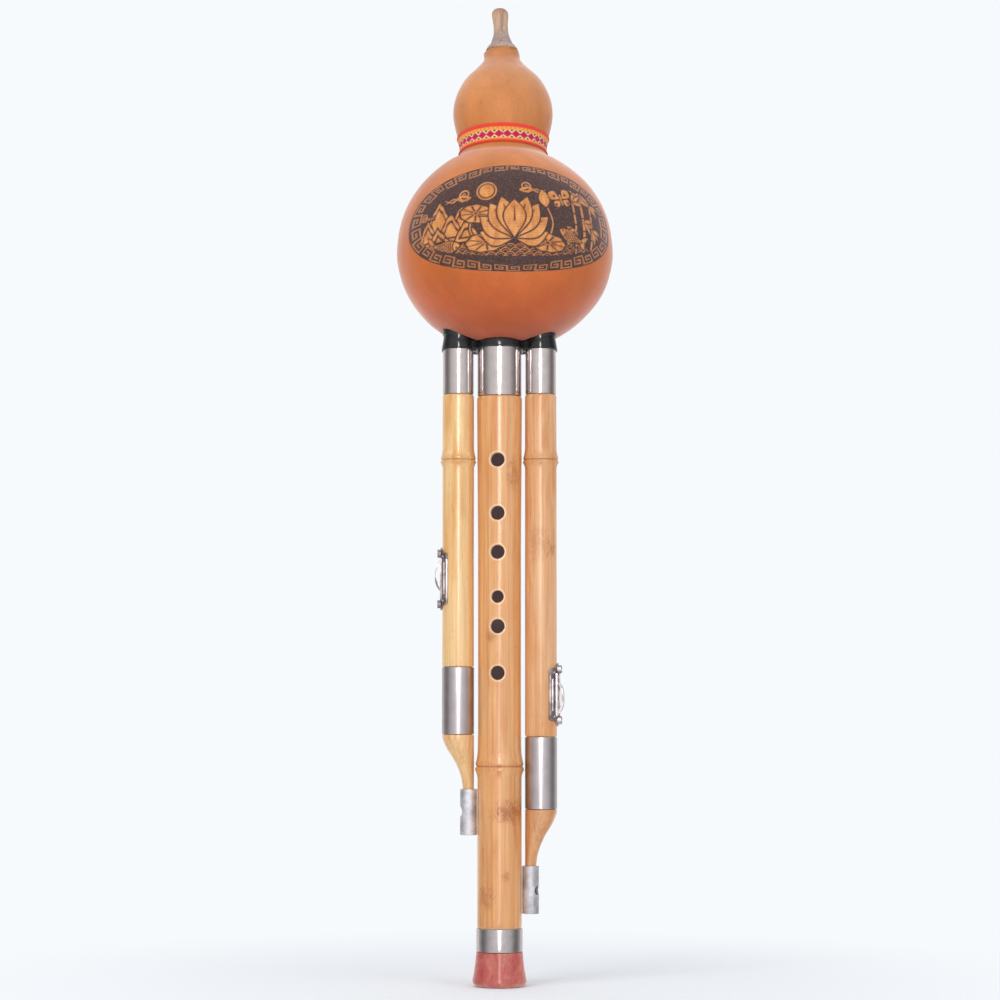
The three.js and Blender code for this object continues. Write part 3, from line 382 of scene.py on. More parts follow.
def cloud(p, at, size, way):
    """A curling cloud: a spiral at its head and two trailing strokes."""
    turn = np.linspace(0, 3.6 * np.pi, 26)
    curl = 0.35 + 2.35 * turn / turn[-1]
    head = way * curl * np.cos(turn + 0.6) + 1j * curl * np.sin(turn + 0.6)
    bends = np.array([0, -3.4 * way + 1.1j, -7.2 * way - 0.9j, -10.6 * way + 0.5j])
    tail = curve_through(head[-1] + bends, 5)
    under = curve_through([-0.8 * way - 2.7j, -4.4 * way - 1.2j, -8.0 * way - 2.7j], 5)
    strokes = ((head, 0.5, 0.95), (tail, 1.25, 0.4), (under, 0.95, 0.35))
    return np.max([stroke(p, at + line * size, a * size, b * size) for line, a, b in strokes], 0)


def water(p):
    """Rows of arcs, each row half a step from the last, as ripples below the pond."""
    up = p.imag + 30
    row = np.floor(up / 1.75)
    across = (p.real / 4.6 + 0.5 * (row % 2)) % 1 - 0.5
    reach = np.hypot(across * 4.6, (up - row * 1.75 + 0.35) * 1.25)
    return np.maximum(0.3 - abs(reach - 2.25), 0.24 - abs(reach - 1.15))


def butterfly(p, at, angle, size):
    """Four rounded wings and a thin body."""
    ground = nothing(p)
    for spread, length, width in ((-30, 4.4, 3.2), (210, 4.4, 3.2), (38, 6.4, 4.4), (142, 6.4, 4.4)):
        wing = leaf(p, at, angle + spread, length * size, width * size, 0, 0.66)
        spot = disc(p, at + 3.4 * size * heading(angle + spread), 0.5 * size)
        ground = laid(ground, scored(wing, spot), 0.35)
    body = [at + end * size * heading(angle + 90) for end in (-1.9, 2.1)]
    return laid(ground, stroke(p, body, 0.95 * size), 0.3)


def panel_picture(p):
    """The picture: a pond under the moon, kept inside the border."""
    ring_high = RING_WIDTH * (1 + np.where(p.imag > 0, RING_WIDER_ABOVE, RING_WIDER_BELOW))
    inner = np.hypot(p.real / (PANEL_WIDE - RING_WIDTH - 0.5), p.imag / (PANEL_HIGH - ring_high - 0.5))
    scene = np.min([water(p), -12.9 - 1.4 * np.cos(p.real / 9.0) - p.imag, 46 - abs(p.real)], 0)
    moon = -13.5 + 11.4j
    for shape in (
        mountains(p),
        disc(p, moon, 5.0),
        cloud(p, -24.0 + 10.4j, 1.2, 1),
        cloud(p, 5.0 + 13.6j, 1.15, -1),
        cloud(p, -46.0 + 3.4j, 0.8, -1),
        stroke(p, curve_through([15.5 - 13j, 17.5 - 4j, 14.6 + 4j], 6), 0.95, 0.75),
        leaf(p, 14.6 + 3.4j, 102, 9.4, 5.4, 0, 0.45),
        stroke(p, curve_through([-18 - 13j, -21 - 7j, -18.8 + 0.2j], 6), 0.95, 0.75),
        water_leaf(p, -18.2 + 0.2j, 7.4, 4.3, -8),
        water_leaf(p, -13.6 - 13.4j, 9.6, 4.2, 3),
        water_leaf(p, 15.5 - 13.4j, 9.0, 3.9, -4),
        lotus(p, -0.5 - 12j, 1.3),
        bamboo_grove(p + 1.8j),
        carp(p, -26.5 - 13.4j, 172, 0.94, 1.1),
        carp(p, 21.0 - 6.6j, -16, 0.88, -0.9),
        butterfly(p, 22.6 + 8j, 14, 1.15),
    ):
        scene = laid(scene, shape)
    return np.minimum(scored(scene, ring_line(p, moon, 3.8, 0.45)), (1 - inner) * 22)


def gourd_shell(material):
    """The hollow gourd: outline turned round, a wall inside it, blow hole above and base opening below."""
    cell, margin, blow_hole = 0.335, 2.2, 4.5
    half_turn = (PANEL_WIDE + 1.0) / BELLY
    front = np.arange(-half_turn, half_turn, cell / BELLY) + PANEL_TURN
    turn = np.r_[front, np.linspace(front[-1], front[0] + 2 * np.pi, 42)[1:-1]]
    low, high = PANEL_RUN - PANEL_HIGH - margin, PANEL_RUN + PANEL_HIGH + margin
    end = outline_run[-1]
    panel_rows = np.arange(low, high, cell)
    upper = np.r_[np.linspace(high, end - 14, 28), np.linspace(end - 13, end, 12)]
    opening = opening_run(turn, 0.0)
    share = np.linspace(0, 1, 11)[:-1, None] ** 0.8
    lower = opening + share * (panel_rows[0] - opening)
    run = np.vstack([lower, np.repeat(np.r_[panel_rows, upper][:, None], len(turn), 1)])
    swell = np.clip((run - end + 10) / 10, 0, 1) ** 2
    lumps = 0.3 * np.sin(3 * turn + 1.2) + 0.16 * np.sin(7 * turn + 0.4)
    skin = gourd_point(run, turn, 0.1 * swell + swell * lumps)
    top = skin_at(end)[1]
    rim_rows = ((7.7 + lumps, top + 0.02), (blow_hole + 0.35, top + 0.02), (blow_hole, top - 0.4))
    rim = [swayed(radius, turn, height, sway_at(height)) for radius, height in rim_rows]
    inner_opening = opening_run(turn, -GOURD_WALL)
    inner_run = (end - 1.5) + np.linspace(0, 1, 13)[:, None] * (inner_opening - end + 1.5)
    points = np.vstack([skin, np.stack(rim), gourd_point(inner_run, turn, -GOURD_WALL)])
    bend = near_zero(turn - PANEL_TURN)
    first, last = len(share), len(share) + len(panel_rows)
    u, v = np.meshgrid(bend * BELLY, panel_rows - PANEL_RUN)
    v = v - PANEL_TILT * u
    picture, depth, hooks = (np.full(points.shape[:2], value) for value in (-2.0, -3.0, 0.0))
    picture[first:last] = np.clip(panel_picture(u + 1j * v), -2, 2)
    depth[first:last], hooks[first:last] = ring_place(u, v)
    uv_u = np.broadcast_to(bend * BELLY, points.shape[:2])
    uv_v = np.vstack([run, np.full((len(rim), len(turn)), end), inner_run]) - PANEL_RUN
    made = piece(
        "gourd", points, "wind_chest", material,
        uv=np.stack([uv_u, uv_v], -1) * 0.01, values={"picture": picture, "depth": depth, "hooks": hooks},
    )  # fmt: skip
    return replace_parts(made, "gourd_shell")


def ribbon(material):
    """A woven band round the waist: a flat rounded strip on the skin, thicker at its two selvages."""
    lower, upper, inner, outer, columns = 95.6, 105.1, 0.16, 0.68, 288
    runs = outline_run[(outline[:, 1] > lower) & (outline[:, 1] < upper)]
    low, high = runs[0] + 0.1, runs[-1] - 0.1
    across = np.linspace(0, 1, 21)
    selvage = sum(0.1 * np.exp(-(((across - at) / 0.05) ** 2)) for at in (0.06, 0.94))
    face = np.c_[across, outer + selvage - 0.35 * (abs(2 * across - 1) ** 24)]
    share, out = np.vstack([face, np.c_[across[::-1], np.full(21, inner)][1:-1]]).T[..., None]
    turn = turns(columns)
    made = piece(
        "woven_ribbon", gourd_point(low + share * (high - low), turn, out), "wind_chest", material,
        uv=np.stack(np.broadcast_arrays(turn / (2 * np.pi), share), -1), sharp=70,
    )  # fmt: skip
    length = 2 * math.pi * (skin_at((low + high) / 2)[0] + 0.45) * MM
    0.0094 * length
    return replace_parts(made, "neck_ribbon")


def base_valley(name, way, front, material):
    """A fillet between two collars of the base: at each height an arc that touches both circles from outside,
    its centre found from its distances to theirs, closed behind by a flat inside the base."""
    fillet, flat_y = 4.0, -3.4
    high = np.linspace(0.25, 13, 22)[:, None]
    neck = smooth(np.clip((high - 3.6) / 6.0, 0, 1))
    middle, side = 11.45 - neck * 0.95, 7.7 - neck * 0.85
    x = (DRONE_X**2 + (middle + fillet) ** 2 - (side + fillet) ** 2) / (2 * DRONE_X)
    y = -np.sqrt((middle + fillet) ** 2 - x**2)
    first, last = np.arctan2(-y, -x), np.arctan2(-y, DRONE_X - x)
    angle = first + (last - first) * np.linspace(0, 1, 15)
    arc_x, arc_y = x + fillet * np.cos(angle), y + fillet * np.sin(angle)
    back_x = arc_x[:, ::-4]
    across_x, across_y = np.hstack([arc_x, back_x]), np.hstack([arc_y, np.full(back_x.shape, flat_y)])
    rows = leaning(way * across_x, (1 if front else -1) * across_y, high)
    points = np.vstack([rows.reshape(-1, 3), rows[0].mean(0), rows[-1].mean(0)])
    columns = rows.shape[1]
    k, top = np.arange(columns), (len(rows) - 1) * columns
    after = (k + 1) % columns
    caps = [[after, k, 0 * k + len(points) - 2], [top + k, top + after, 0 * k + len(points) - 1]]
    faces = [*rings(len(rows), columns).tolist(), *np.hstack(caps).T.tolist()]
    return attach(welded(mesh_object(name, points * MM, faces, material)), "wind_chest")


MOUTHPIECE_SHARES = [
    [1, 0], [0.96, 0.05], [0.85, 0.115], [0.7, 0.18], [0.62, 0.25], [0.52, 0.34], [0.45, 0.44],
    [0.43, 0.58], [0.44, 0.68], [0.48, 0.79], [0.5, 0.87], [0.47, 0.94], [0.38, 0.985],
]  # fmt: skip


def mouthpiece(material):
    """The gourd's stem: a waisted outline turned round, fluted a little at its foot, bored, worn on top."""
    foot, length, foot_radius, spigot, bore = GOURD_HIGH + 0.3, 21.6, 7.9, 4.2, 1.9
    top = foot + length
    below = [[bore, foot - 8], [spigot, foot - 8], [spigot, foot]]
    skin = curve_through([[r * foot_radius, foot + h * length] for r, h in MOUTHPIECE_SHARES], 7)
    worn = [[2.75, top - 0.1], [2.4, top], [2.0, top - 0.12], [bore, top - 0.5]]
    radius, height = np.vstack([below, skin, worn]).T[..., None]
    turn = turns(72)
    share = np.clip((height - foot) / length, 0, 1)
    flute = np.where(height < foot + 0.05, 0, np.exp(-((share / 0.35) ** 2)))
    wobble = 0.018 * flute * np.cos(6 * turn + 0.7) + 0.012 * np.sin(2 * turn + 9 * share)
    body = np.clip((radius - 2.5) / 1.5, 0, 1)
    points = swayed(radius * (1 + body * wobble), turn, height, NECK_SWAY - share * 1.1)
    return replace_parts(piece("stem_mouthpiece", points, "wind_chest", material), "mouthpiece")


# The bamboo pipes: an outer skin and a bore with round holes bored between them

MELODY_NODE = RIM - 192.2
DRONE_NODE = RIM - 50.7
FRONT_HOLES = [(51.2, 3.25), (75.8, 3.25), (93.8, 3.25), (114.4, 2.85), (128.0, 3.25), (149.4, 3.25)]
BACK_HOLES = [(35.9, 2.9), (230.4, 2.2), (244.4, 2.2)]


def node_flare(height, middle, half, rise, groove=0.62, ridge=1.9, lip_width=0.62):
    """How far a bamboo node stands out: a long flare down to its lip, a groove, and a second, rounded ridge
    that fades out below."""
    above = np.clip((height - middle) / half, 0, 1)
    below = np.clip((middle - ridge - height) / (0.5 * half), 0, 1)
    lip = np.exp(-(((height - middle) / lip_width) ** 2))
    return rise * np.where(height > middle, (1 - above) ** 2.2, 0.85 * (1 - below) ** 2) - groove * lip


def stations(low, high, step, close=()):
    """Heights from low to high at a step, with finer or fixed ones from the lists given."""
    plain = np.arange(low, high, step)
    for start, end, _ in close:
        plain = plain[(plain < start - 0.4 * step) | (plain > end + 0.4 * step)]
    return np.unique(np.round(np.concatenate([plain, [high], *(np.linspace(*row) for row in close)]), 4))


def rows_at(holes):
    """Where the rows of faces stand close at each hole: from, to and how many."""
    return [(height - half, height + half, count) for height, _, _, _, half, _, count in holes]


def rows_near(node, far, near, counts):
    """The same round a node: above, on and below its lip."""
    lip = near - 0.1
    spans = ((-far, -near), (-lip, lip), (near, far))
    return [(node + start, node + end, count) for (start, end), count in zip(spans, counts)]


def tenon(radius):
    """The pipe's end in its socket, with the groove for the seal."""
    groove, low, high, end = 1.1, 298.5, 304.1, 306.5
    return [[radius, low], [radius - groove, low], [radius - groove, high], [radius, high], [radius, end]]


def bored_tube(outer, bore, holes, columns, first_turn):
    """Points and faces of a tube whose outer rows go up and bore rows go down, each hole's block of faces
    filled by a fan of rings: from the block's edge to the hole's circle, down its wall and out on the bore.
    A hole is its height, radius, bevel and turn, then its block's half height, half width and rows."""
    outer = np.asarray(outer, float)
    close = [np.linspace(*row) for row in rows_at(holes)]
    bore_heights = np.unique(np.round(np.r_[outer[0, 1], outer[-1, 1], *close], 4))[::-1]
    rows = np.vstack([outer, np.stack([np.full(len(bore_heights), bore), bore_heights], -1)])
    grid = about_axis(rows[:, :1], turns(columns, first_turn), rows[:, 1:])
    keep = np.ones(grid.shape[:2], bool)
    points, faces, count = [grid.reshape(-1, 3)], [], len(rows) * columns
    for height, radius, bevel, at, half, reach, _ in holes:
        centre = int(round((at - first_turn) / (2 * np.pi) * columns))
        half_cols = int(math.ceil(reach / (outer[len(outer) // 2, 0] * 2 * np.pi / columns)))
        cols = np.arange(centre - half_cols, centre + half_cols)
        (low, high), (bore_low, bore_high) = (
            [start + int(np.argmin(abs(heights - height - way * half))) for way in (-1, 1)]
            for start, heights in ((0, outer[:, 1]), (len(outer), bore_heights))
        )
        keep[low:high, cols % columns] = False
        keep[bore_high:bore_low, cols % columns] = False

        def block_edge(lower, upper):
            """Turn and height from the hole's middle, and radius, round from the lower left corner."""
            way = 1 if upper > lower else -1
            side = np.arange(lower, upper, way)
            row = np.r_[0 * cols + lower, side, 0 * cols + upper, side[::-1] + way]
            column = np.r_[cols, 0 * side + cols[-1] + 1, cols[::-1] + 1, 0 * side + cols[0]]
            x, y, z = grid[row, column % columns].T
            return np.stack([near_zero(np.arctan2(x, -y) - at), z - height, np.hypot(x, y)])

        def circle(r, reach_out):
            """The same three for the hole's circle, in the block edge's bearings."""
            turn = np.arcsin(r * np.cos(bearing) / reach_out)
            return np.stack([turn, r * np.sin(bearing), np.full(len(bearing), reach_out)])

        start, finish = block_edge(low, high), block_edge(bore_low, bore_high)
        bearing = np.arctan2(start[1], start[0] * start[2])
        level = np.interp(height, outer[:, 1], outer[:, 0])
        wide, deep = circle(radius + bevel, level), circle(radius, bore)
        layers = [start + t * (wide - start) for t in (0, 0.3, 0.6, 0.85, 1)]
        wall = ((radius + 0.45 * bevel, 0.22 * bevel), (radius, bevel), (radius, bevel + 0.3))
        layers += [circle(r, level - depth) for r, depth in wall]
        layers += [deep + t * (finish - deep) for t in (0, 0.5, 1)]
        turn, rise, out = np.stack(layers, 1)
        points.append(about_axis(out, at + turn, height + rise).reshape(-1, 3))
        faces.append(rings(len(layers), len(bearing)) + count)
        count += len(layers) * len(bearing)
    cells = rings(*grid.shape[:2], ring_rows=True)[keep.reshape(-1)]
    return np.vstack(points), np.vstack([cells[:, ::-1], *faces])


def welded(made):
    """Joins the rims of the fans to the grid and turns every face outwards."""
    work = bmesh.new()
    work.from_mesh(made.data)
    bmesh.ops.remove_doubles(work, verts=work.verts, dist=2e-6)
    bmesh.ops.recalc_face_normals(work, faces=work.faces)
    work.to_mesh(made.data)
    work.free()
    made.data.set_sharp_from_angle(angle=math.radians(42))
    return made


def grown(points, seed, skin, low, high):
    """Moves each point beyond a radius by the unevenness of a grown pipe: slow waves along it and round it,
    at most a twentieth of a millimetre, fading out towards its ends."""
    x, y, height = points.T
    radius, turn = np.hypot(x, y), np.arctan2(x, -y)
    waves = 0.035 * np.sin(height / 23.0 + seed) * np.cos(turn * 2 + seed)
    waves = waves + 0.008 * np.sin(height / 9.0 + 2 * turn + 2 * seed)
    fade = np.clip((height - low) / 6, 0, 1) * np.clip((high - height) / 6, 0, 1)
    scale = 1 + waves * fade * (radius > skin) / radius
    return points * np.stack([scale, scale, np.ones(len(points))], -1)


def melody_radius(height):
    """The melody pipe's outside, a little slimmer where the drones' shutters pass it as the drones turn."""
    heights, radii = [26.1, 98.0, 117.5, 148.5, 202.5, 272.3], [10.3, 10.25, 9.98, 9.98, 10.05, 10.52]
    return np.interp(height, heights, radii) + node_flare(height, MELODY_NODE, half=8.6, rise=1.22)


def melody_bamboo(material):
    """The middle pipe: six finger holes in front, a thumb hole and two low vents behind, one node."""
    low, high, front = 27.0, 269.6, -math.radians(5.8)
    bevel, half_high, half_wide, count = 0.4, 4.2, 4.6, 13
    holes = [
        (RIM - down, radius, bevel, at, half_high, half_wide, count)
        for at, sizes in ((front, FRONT_HOLES), (math.pi, BACK_HOLES)) for down, radius in sizes
    ]
    close = rows_near(MELODY_NODE, far=9, near=1.4, counts=(24, 18, 20)) + rows_at(holes)
    heights = stations(low, high, 2.4, close)
    foot = [[9.6, 20.0], [9.6, 26.4], [9.55, 26.42], [10.1, 26.6]]
    head = [[10.46, 270.2], [10.36, 270.7], [10.2, 271.0], [8.6, 271.0], *tenon(8.6)]
    rows = np.vstack([foot, np.stack([melody_radius(heights), heights], -1), head])
    points, faces = bored_tube(rows, bore=6.2, holes=holes, columns=96, first_turn=0.0)
    x, y, height = points.T
    rim = np.full(len(points), 4.0)
    for at_height, radius, _, at, *_ in holes:
        around = near_zero(np.arctan2(x, -y) - at) * 10
        rim = np.minimum(rim, np.hypot(around, height - at_height) - radius)
    depth = (melody_radius(height) - np.hypot(x, y)) * (height < 269)
    made = piece(
        "melody_bamboo", grown(points, 2.0, 9.0, low, 270.0), "melody_pipe", material, faces,
        values={"depth": depth, "rim": rim},
    )  # fmt: skip
    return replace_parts(welded(made), "melody_pipe")


def drone_bamboo(side, material, x, out, shutter, up, low, shoulder, seed):
    """A drone: one node, the vent under its shutter, and a flat seat there that the slide runs on."""
    vent, vent_radius, bevel, half_high, half_wide, count = shutter - up * 1.5, 1.2, 0.05, 2.4, 2.6, 9
    half_seat = 9.8
    holes = [(vent, vent_radius, bevel, out, half_high, half_wide, count)]
    close = rows_near(DRONE_NODE, far=6.6, near=1.3, counts=(18, 17, 16)) + rows_at(holes)
    close += [(shutter + end * half_seat - 0.05, shutter + end * half_seat + 0.05, 2) for end in (-1, 1)]
    heights = stations(shoulder + 0.6, 270.8, 2.0, close)
    radius = np.interp(heights, [113.5, 272.3], [7.38, 7.32])
    radius = radius + node_flare(heights, DRONE_NODE, half=6.4, rise=1.2, groove=0.5, ridge=1.2)
    foot = [[6.55, low], [6.55, shoulder], [7.05, shoulder + 0.02], [7.3, shoulder + 0.25]]
    head = [[7.27, 271.3], [7.15, 271.75], [6.95, 272.0], [5.8, 272.0], *tenon(5.8)]
    rows = np.vstack([foot, np.stack([radius, heights], -1), head])
    points, faces = bored_tube(rows, bore=3.6, holes=holes, columns=72, first_turn=out)
    points = grown(points, seed, 7.0, shoulder, 270.0)
    away = np.array([math.sin(out), -math.cos(out)])
    reach = points[:, :2] @ away
    seat = np.interp(shutter, [113.5, 272.3], [6.7, 6.5])
    on_seat = (abs(points[:, 2] - shutter) < half_seat) & (reach > seat)
    points[:, :2] -= np.where(on_seat, reach - seat, 0)[:, None] * away
    made = piece(f"{side}_bamboo", points + np.array([x, 0, 0]), f"{side}_drone", material, faces)
    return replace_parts(welded(made), f"{side}_drone_pipe")


def top_ferrule(name, body, material, x, radius, inner, longer=0.0):
    """The sleeve of bright metal between a pipe's bamboo and its collar, with eased ends."""
    low, high = (corner[2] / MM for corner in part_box(f"{name}_top_ferrule"))
    low -= longer
    profile = [
        [inner, low], [radius - 0.3, low], [radius - 0.1, low + 0.08], [radius, low + 0.3],
        [radius, high - 0.4], [radius - 0.4, high], [inner, high],
    ]  # fmt: skip
    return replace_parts(turned_piece(f"{name}_ferrule", profile, body, material, x), f"{name}_top_ferrule")


def bell(material):
    """The bell: its waisted flank, a round lip and the throat, turned all the way round."""
    shoulder, top, rim, lip_round, bore = 15.4, 19.7, 12.5, 2.2, 6.2
    flank = curve_through([[10.72, shoulder], [10.97, 12.0], [11.5, 7.7], [rim, 2.3]], 8)
    sweep = np.linspace(0, np.pi / 2, 9)
    turn = sweep[1:]
    lip = np.stack([rim - lip_round * (1 - np.cos(turn)), lip_round * (1 - np.sin(turn))], -1)
    throat = np.stack([7.9 - 1.7 * np.sin(sweep), shoulder * sweep / sweep[-1]], -1)
    socket = [[9.6, top], [9.6, shoulder + 0.02], [10.5, shoulder]]
    profile = np.vstack([socket, flank, lip, throat, [[bore, top]]])
    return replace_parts(turned_piece("polished_bell", profile, "melody_pipe", material), "bell")


# Materials


class Wire:
    """An output in a node tree. Signs between wires and numbers add the nodes that work them out."""

    def __init__(self, socket):
        self.socket, self.tree = socket, socket.id_data

    def __add__(self, other):
        return maths("ADD", self, other)

    def __sub__(self, other):
        return maths("SUBTRACT", self, other)

    def __rsub__(self, other):
        return maths("SUBTRACT", other, self)

    def __mul__(self, other):
        return maths("MULTIPLY", self, other)

    def __truediv__(self, other):
        return maths("DIVIDE", self, other)

    def __abs__(self):
        return maths("ABSOLUTE", self)

    def shaded(self, value, *stops):
        """This colour times a ramp of another value."""
        return blend(1.0, self, ramp(value, *stops), "MULTIPLY")

    def siblings(self):
        """All outputs of its node by their names."""
        return {output.name: Wire(output) for output in self.socket.node.outputs}


def tint(code):
    """Linear colour from a hex code."""
    parts = [int(code[i : i + 2], 16) / 255 for i in (1, 3, 5)]
    return (*[c / 12.92 if c <= 0.04045 else ((c + 0.055) / 1.055) ** 2.4 for c in parts], 1.0)


def join(node, inputs):
    """Gives a node's inputs their numbers, colours or hex codes, or links them to wires."""
    for key, value in inputs.items():
        if isinstance(value, Wire):
            node.id_data.links.new(value.socket, node.inputs[key])
        else:
            node.inputs[key].default_value = tint(value) if isinstance(value, str) else value
    return node


def wire(tree, kind, inputs=(), out=0, **settings):
    """An output of a new node of a kind, with its settings and its inputs."""
    made = tree.nodes.new(kind)
    for key, value in settings.items():
        setattr(made, key, value)
    return Wire(join(made, dict(inputs)).outputs[out])


def first_tree(values):
    return next(value.tree for value in values if isinstance(value, Wire))


def maths(operation, *values, clamp=False):
    inputs = dict(enumerate(values))
    return wire(first_tree(values), "ShaderNodeMath", inputs, operation=operation, use_clamp=clamp)


def step(value, low, high, smooth=True):
    """0 below low, 1 above high, and even or smooth between."""
    inputs = {"Value": value, "From Min": low, "From Max": high}
    kind = "SMOOTHSTEP" if smooth else "LINEAR"
    return wire(value.tree, "ShaderNodeMapRange", inputs, interpolation_type=kind)


def blend(share, a, b, how="MIX"):
    """From one colour to another by a share, each colour a wire or a hex code."""
    inputs = {0: share, 6: a, 7: b}
    return wire(first_tree((share, a, b)), "ShaderNodeMix", inputs, 2, data_type="RGBA", blend_type=how)


def ramp(value, *stops):
    """Colours or greys by value, from (place, hex code or number) pairs."""
    made = wire(value.tree, "ShaderNodeValToRGB", {"Fac": value})
    marks = made.socket.node.color_ramp.elements
    while len(marks) < len(stops):
        marks.new(0.5)
    for mark, (at, colour) in zip(marks, stops):
        mark.position = at
        mark.color = tint(colour) if isinstance(colour, str) else (colour, colour, colour, 1)
    return made


def noise(vector, scale, detail=2.0, rough=0.5, distort=0.0):
    inputs = {"Vector": vector, "Scale": scale, "Detail": detail, "Roughness": rough, "Distortion": distort}
    return wire(vector.tree, "ShaderNodeTexNoise", inputs)


def placed(tree, high=1.0, wide=1.0, location=(0, 0, 0)):
    """Object coordinates, scaled along the height and across it, and shifted."""
    spot = wire(tree, "ShaderNodeTexCoord", out="Object")
    inputs = {"Vector": spot, "Scale": (wide, wide, high), "Location": location}
    return wire(tree, "ShaderNodeMapping", inputs)


def parts(vector):
    """The three numbers of a vector."""
    return list(wire(vector.tree, "ShaderNodeSeparateXYZ", {0: vector}).siblings().values())


def stretched(vector, scale):
    return wire(vector.tree, "ShaderNodeVectorMath", {0: vector, 1: scale}, operation="MULTIPLY")


def length_of(vector):
    return wire(vector.tree, "ShaderNodeVectorMath", {0: vector}, 1, operation="LENGTH")


def attribute(tree, key):
    """Numbers kept on a mesh."""
    return wire(tree, "ShaderNodeAttribute", out="Fac", attribute_name=key)


def bump(height, strength, distance, over=None):
    inputs = {"Height": height, "Strength": strength, "Distance": distance}
    return wire(height.tree, "ShaderNodeBump", {**inputs, "Normal": over} if over else inputs)


def group(name, outputs, build):
    """A shader node group of a vector and a scale, with named outputs that a function makes from the two."""
    tree = bpy.data.node_groups.new(name, "ShaderNodeTree")
    sockets = [("Vector", "INPUT", "Vector"), ("Scale", "INPUT", "Float")]
    for key, way, kind in sockets + [(key, "OUTPUT", "Float") for key in outputs]:
        tree.interface.new_socket(key, in_out=way, socket_type=f"NodeSocket{kind}")
    given = tree.nodes.new("NodeGroupInput").outputs
    made = build(Wire(given["Vector"]), Wire(given["Scale"]))
    join(tree.nodes.new("NodeGroupOutput"), dict(zip(outputs, made)))
    return tree


def use(made, vector, scale):
    """The outputs of a node group by their names."""
    inputs = {"Vector": vector, "Scale": scale}
    return wire(vector.tree, "ShaderNodeGroup", inputs, node_tree=made).siblings()


def cloudiness(vector, scale):
    """Two layers of soft noise, coarse and fine."""
    return noise(vector, scale, 2.0, 0.5, 0.3), noise(vector, scale * 6.0, 3.0, 0.6)


def fibres(vector, scale):
    """Fibres along Z: noise squeezed along the pipe, at two widths, and short dark pores."""
    squeeze = stretched(vector, (1, 1, 0.018))
    pores = noise(stretched(vector, (1, 1, 0.12)), scale * 4.5, 1.0)
    return noise(squeeze, scale, 2.0, 0.55), noise(squeeze, scale * 3.4, 2.0, 0.6), step(pores, 0.66, 0.78)


def lathe(vector, scale):
    """Fine lines round a turned piece, by height, and broad smudges."""
    return noise(stretched(vector, (0.05, 0.05, 1)), scale, 3.0, 0.7), noise(vector, 160.0, 3.0, 0.6)


CLOUDINESS = group("cloudiness", ("Coarse", "Fine"), cloudiness)
FIBRES = group("bamboo_fibres", ("Bands", "Lines", "Pores"), fibres)
LATHE = group("lathe_lines", ("Lines", "Smudge"), lathe)


def blank(name):
    """A material and the tree of its nodes."""
    made = bpy.data.materials.new(name)
    made.use_nodes = True
    return made, made.node_tree


def finish(made, inputs):
    """A material whose Principled shader has the values or wires given."""
    join(made.node_tree.nodes["Principled BSDF"], inputs)
    return made


def key_fret(depth, hooks):
    """Signed distance in millimetres from the border's hooks: straight strokes in a cell, every second one
    turned half round, each stroke a box whose distance is the larger of the two ways out of it."""
    pitch, high, line, foot = 6.9, 3.75, 0.72, 0.78
    odd = maths("GREATER_THAN", maths("FRACT", hooks * 0.5), 0.5)
    cell = (maths("FRACT", hooks), (depth - foot) / high)
    x, y = (value + odd * (value * -2.0 + 1.0) for value in cell)
    corners = [[0.03, 0.0], [0.03, 1.0], [0.84, 1.0], [0.84, 0.24], [0.3, 0.24], [0.3, 0.62], [0.58, 0.62]]
    best = None
    for (x0, y0), (x1, y1) in zip(corners, corners[1:]):
        sides = (
            (abs(value - (near + far) / 2) - abs(far - near) / 2) * size
            for value, near, far, size in ((x, x0, x1, pitch), (y, y0, y1, high))
        )
        out = maths("MAXIMUM", *sides)
        best = out if best is None else maths("MINIMUM", best, out)
    return line / 2 - best


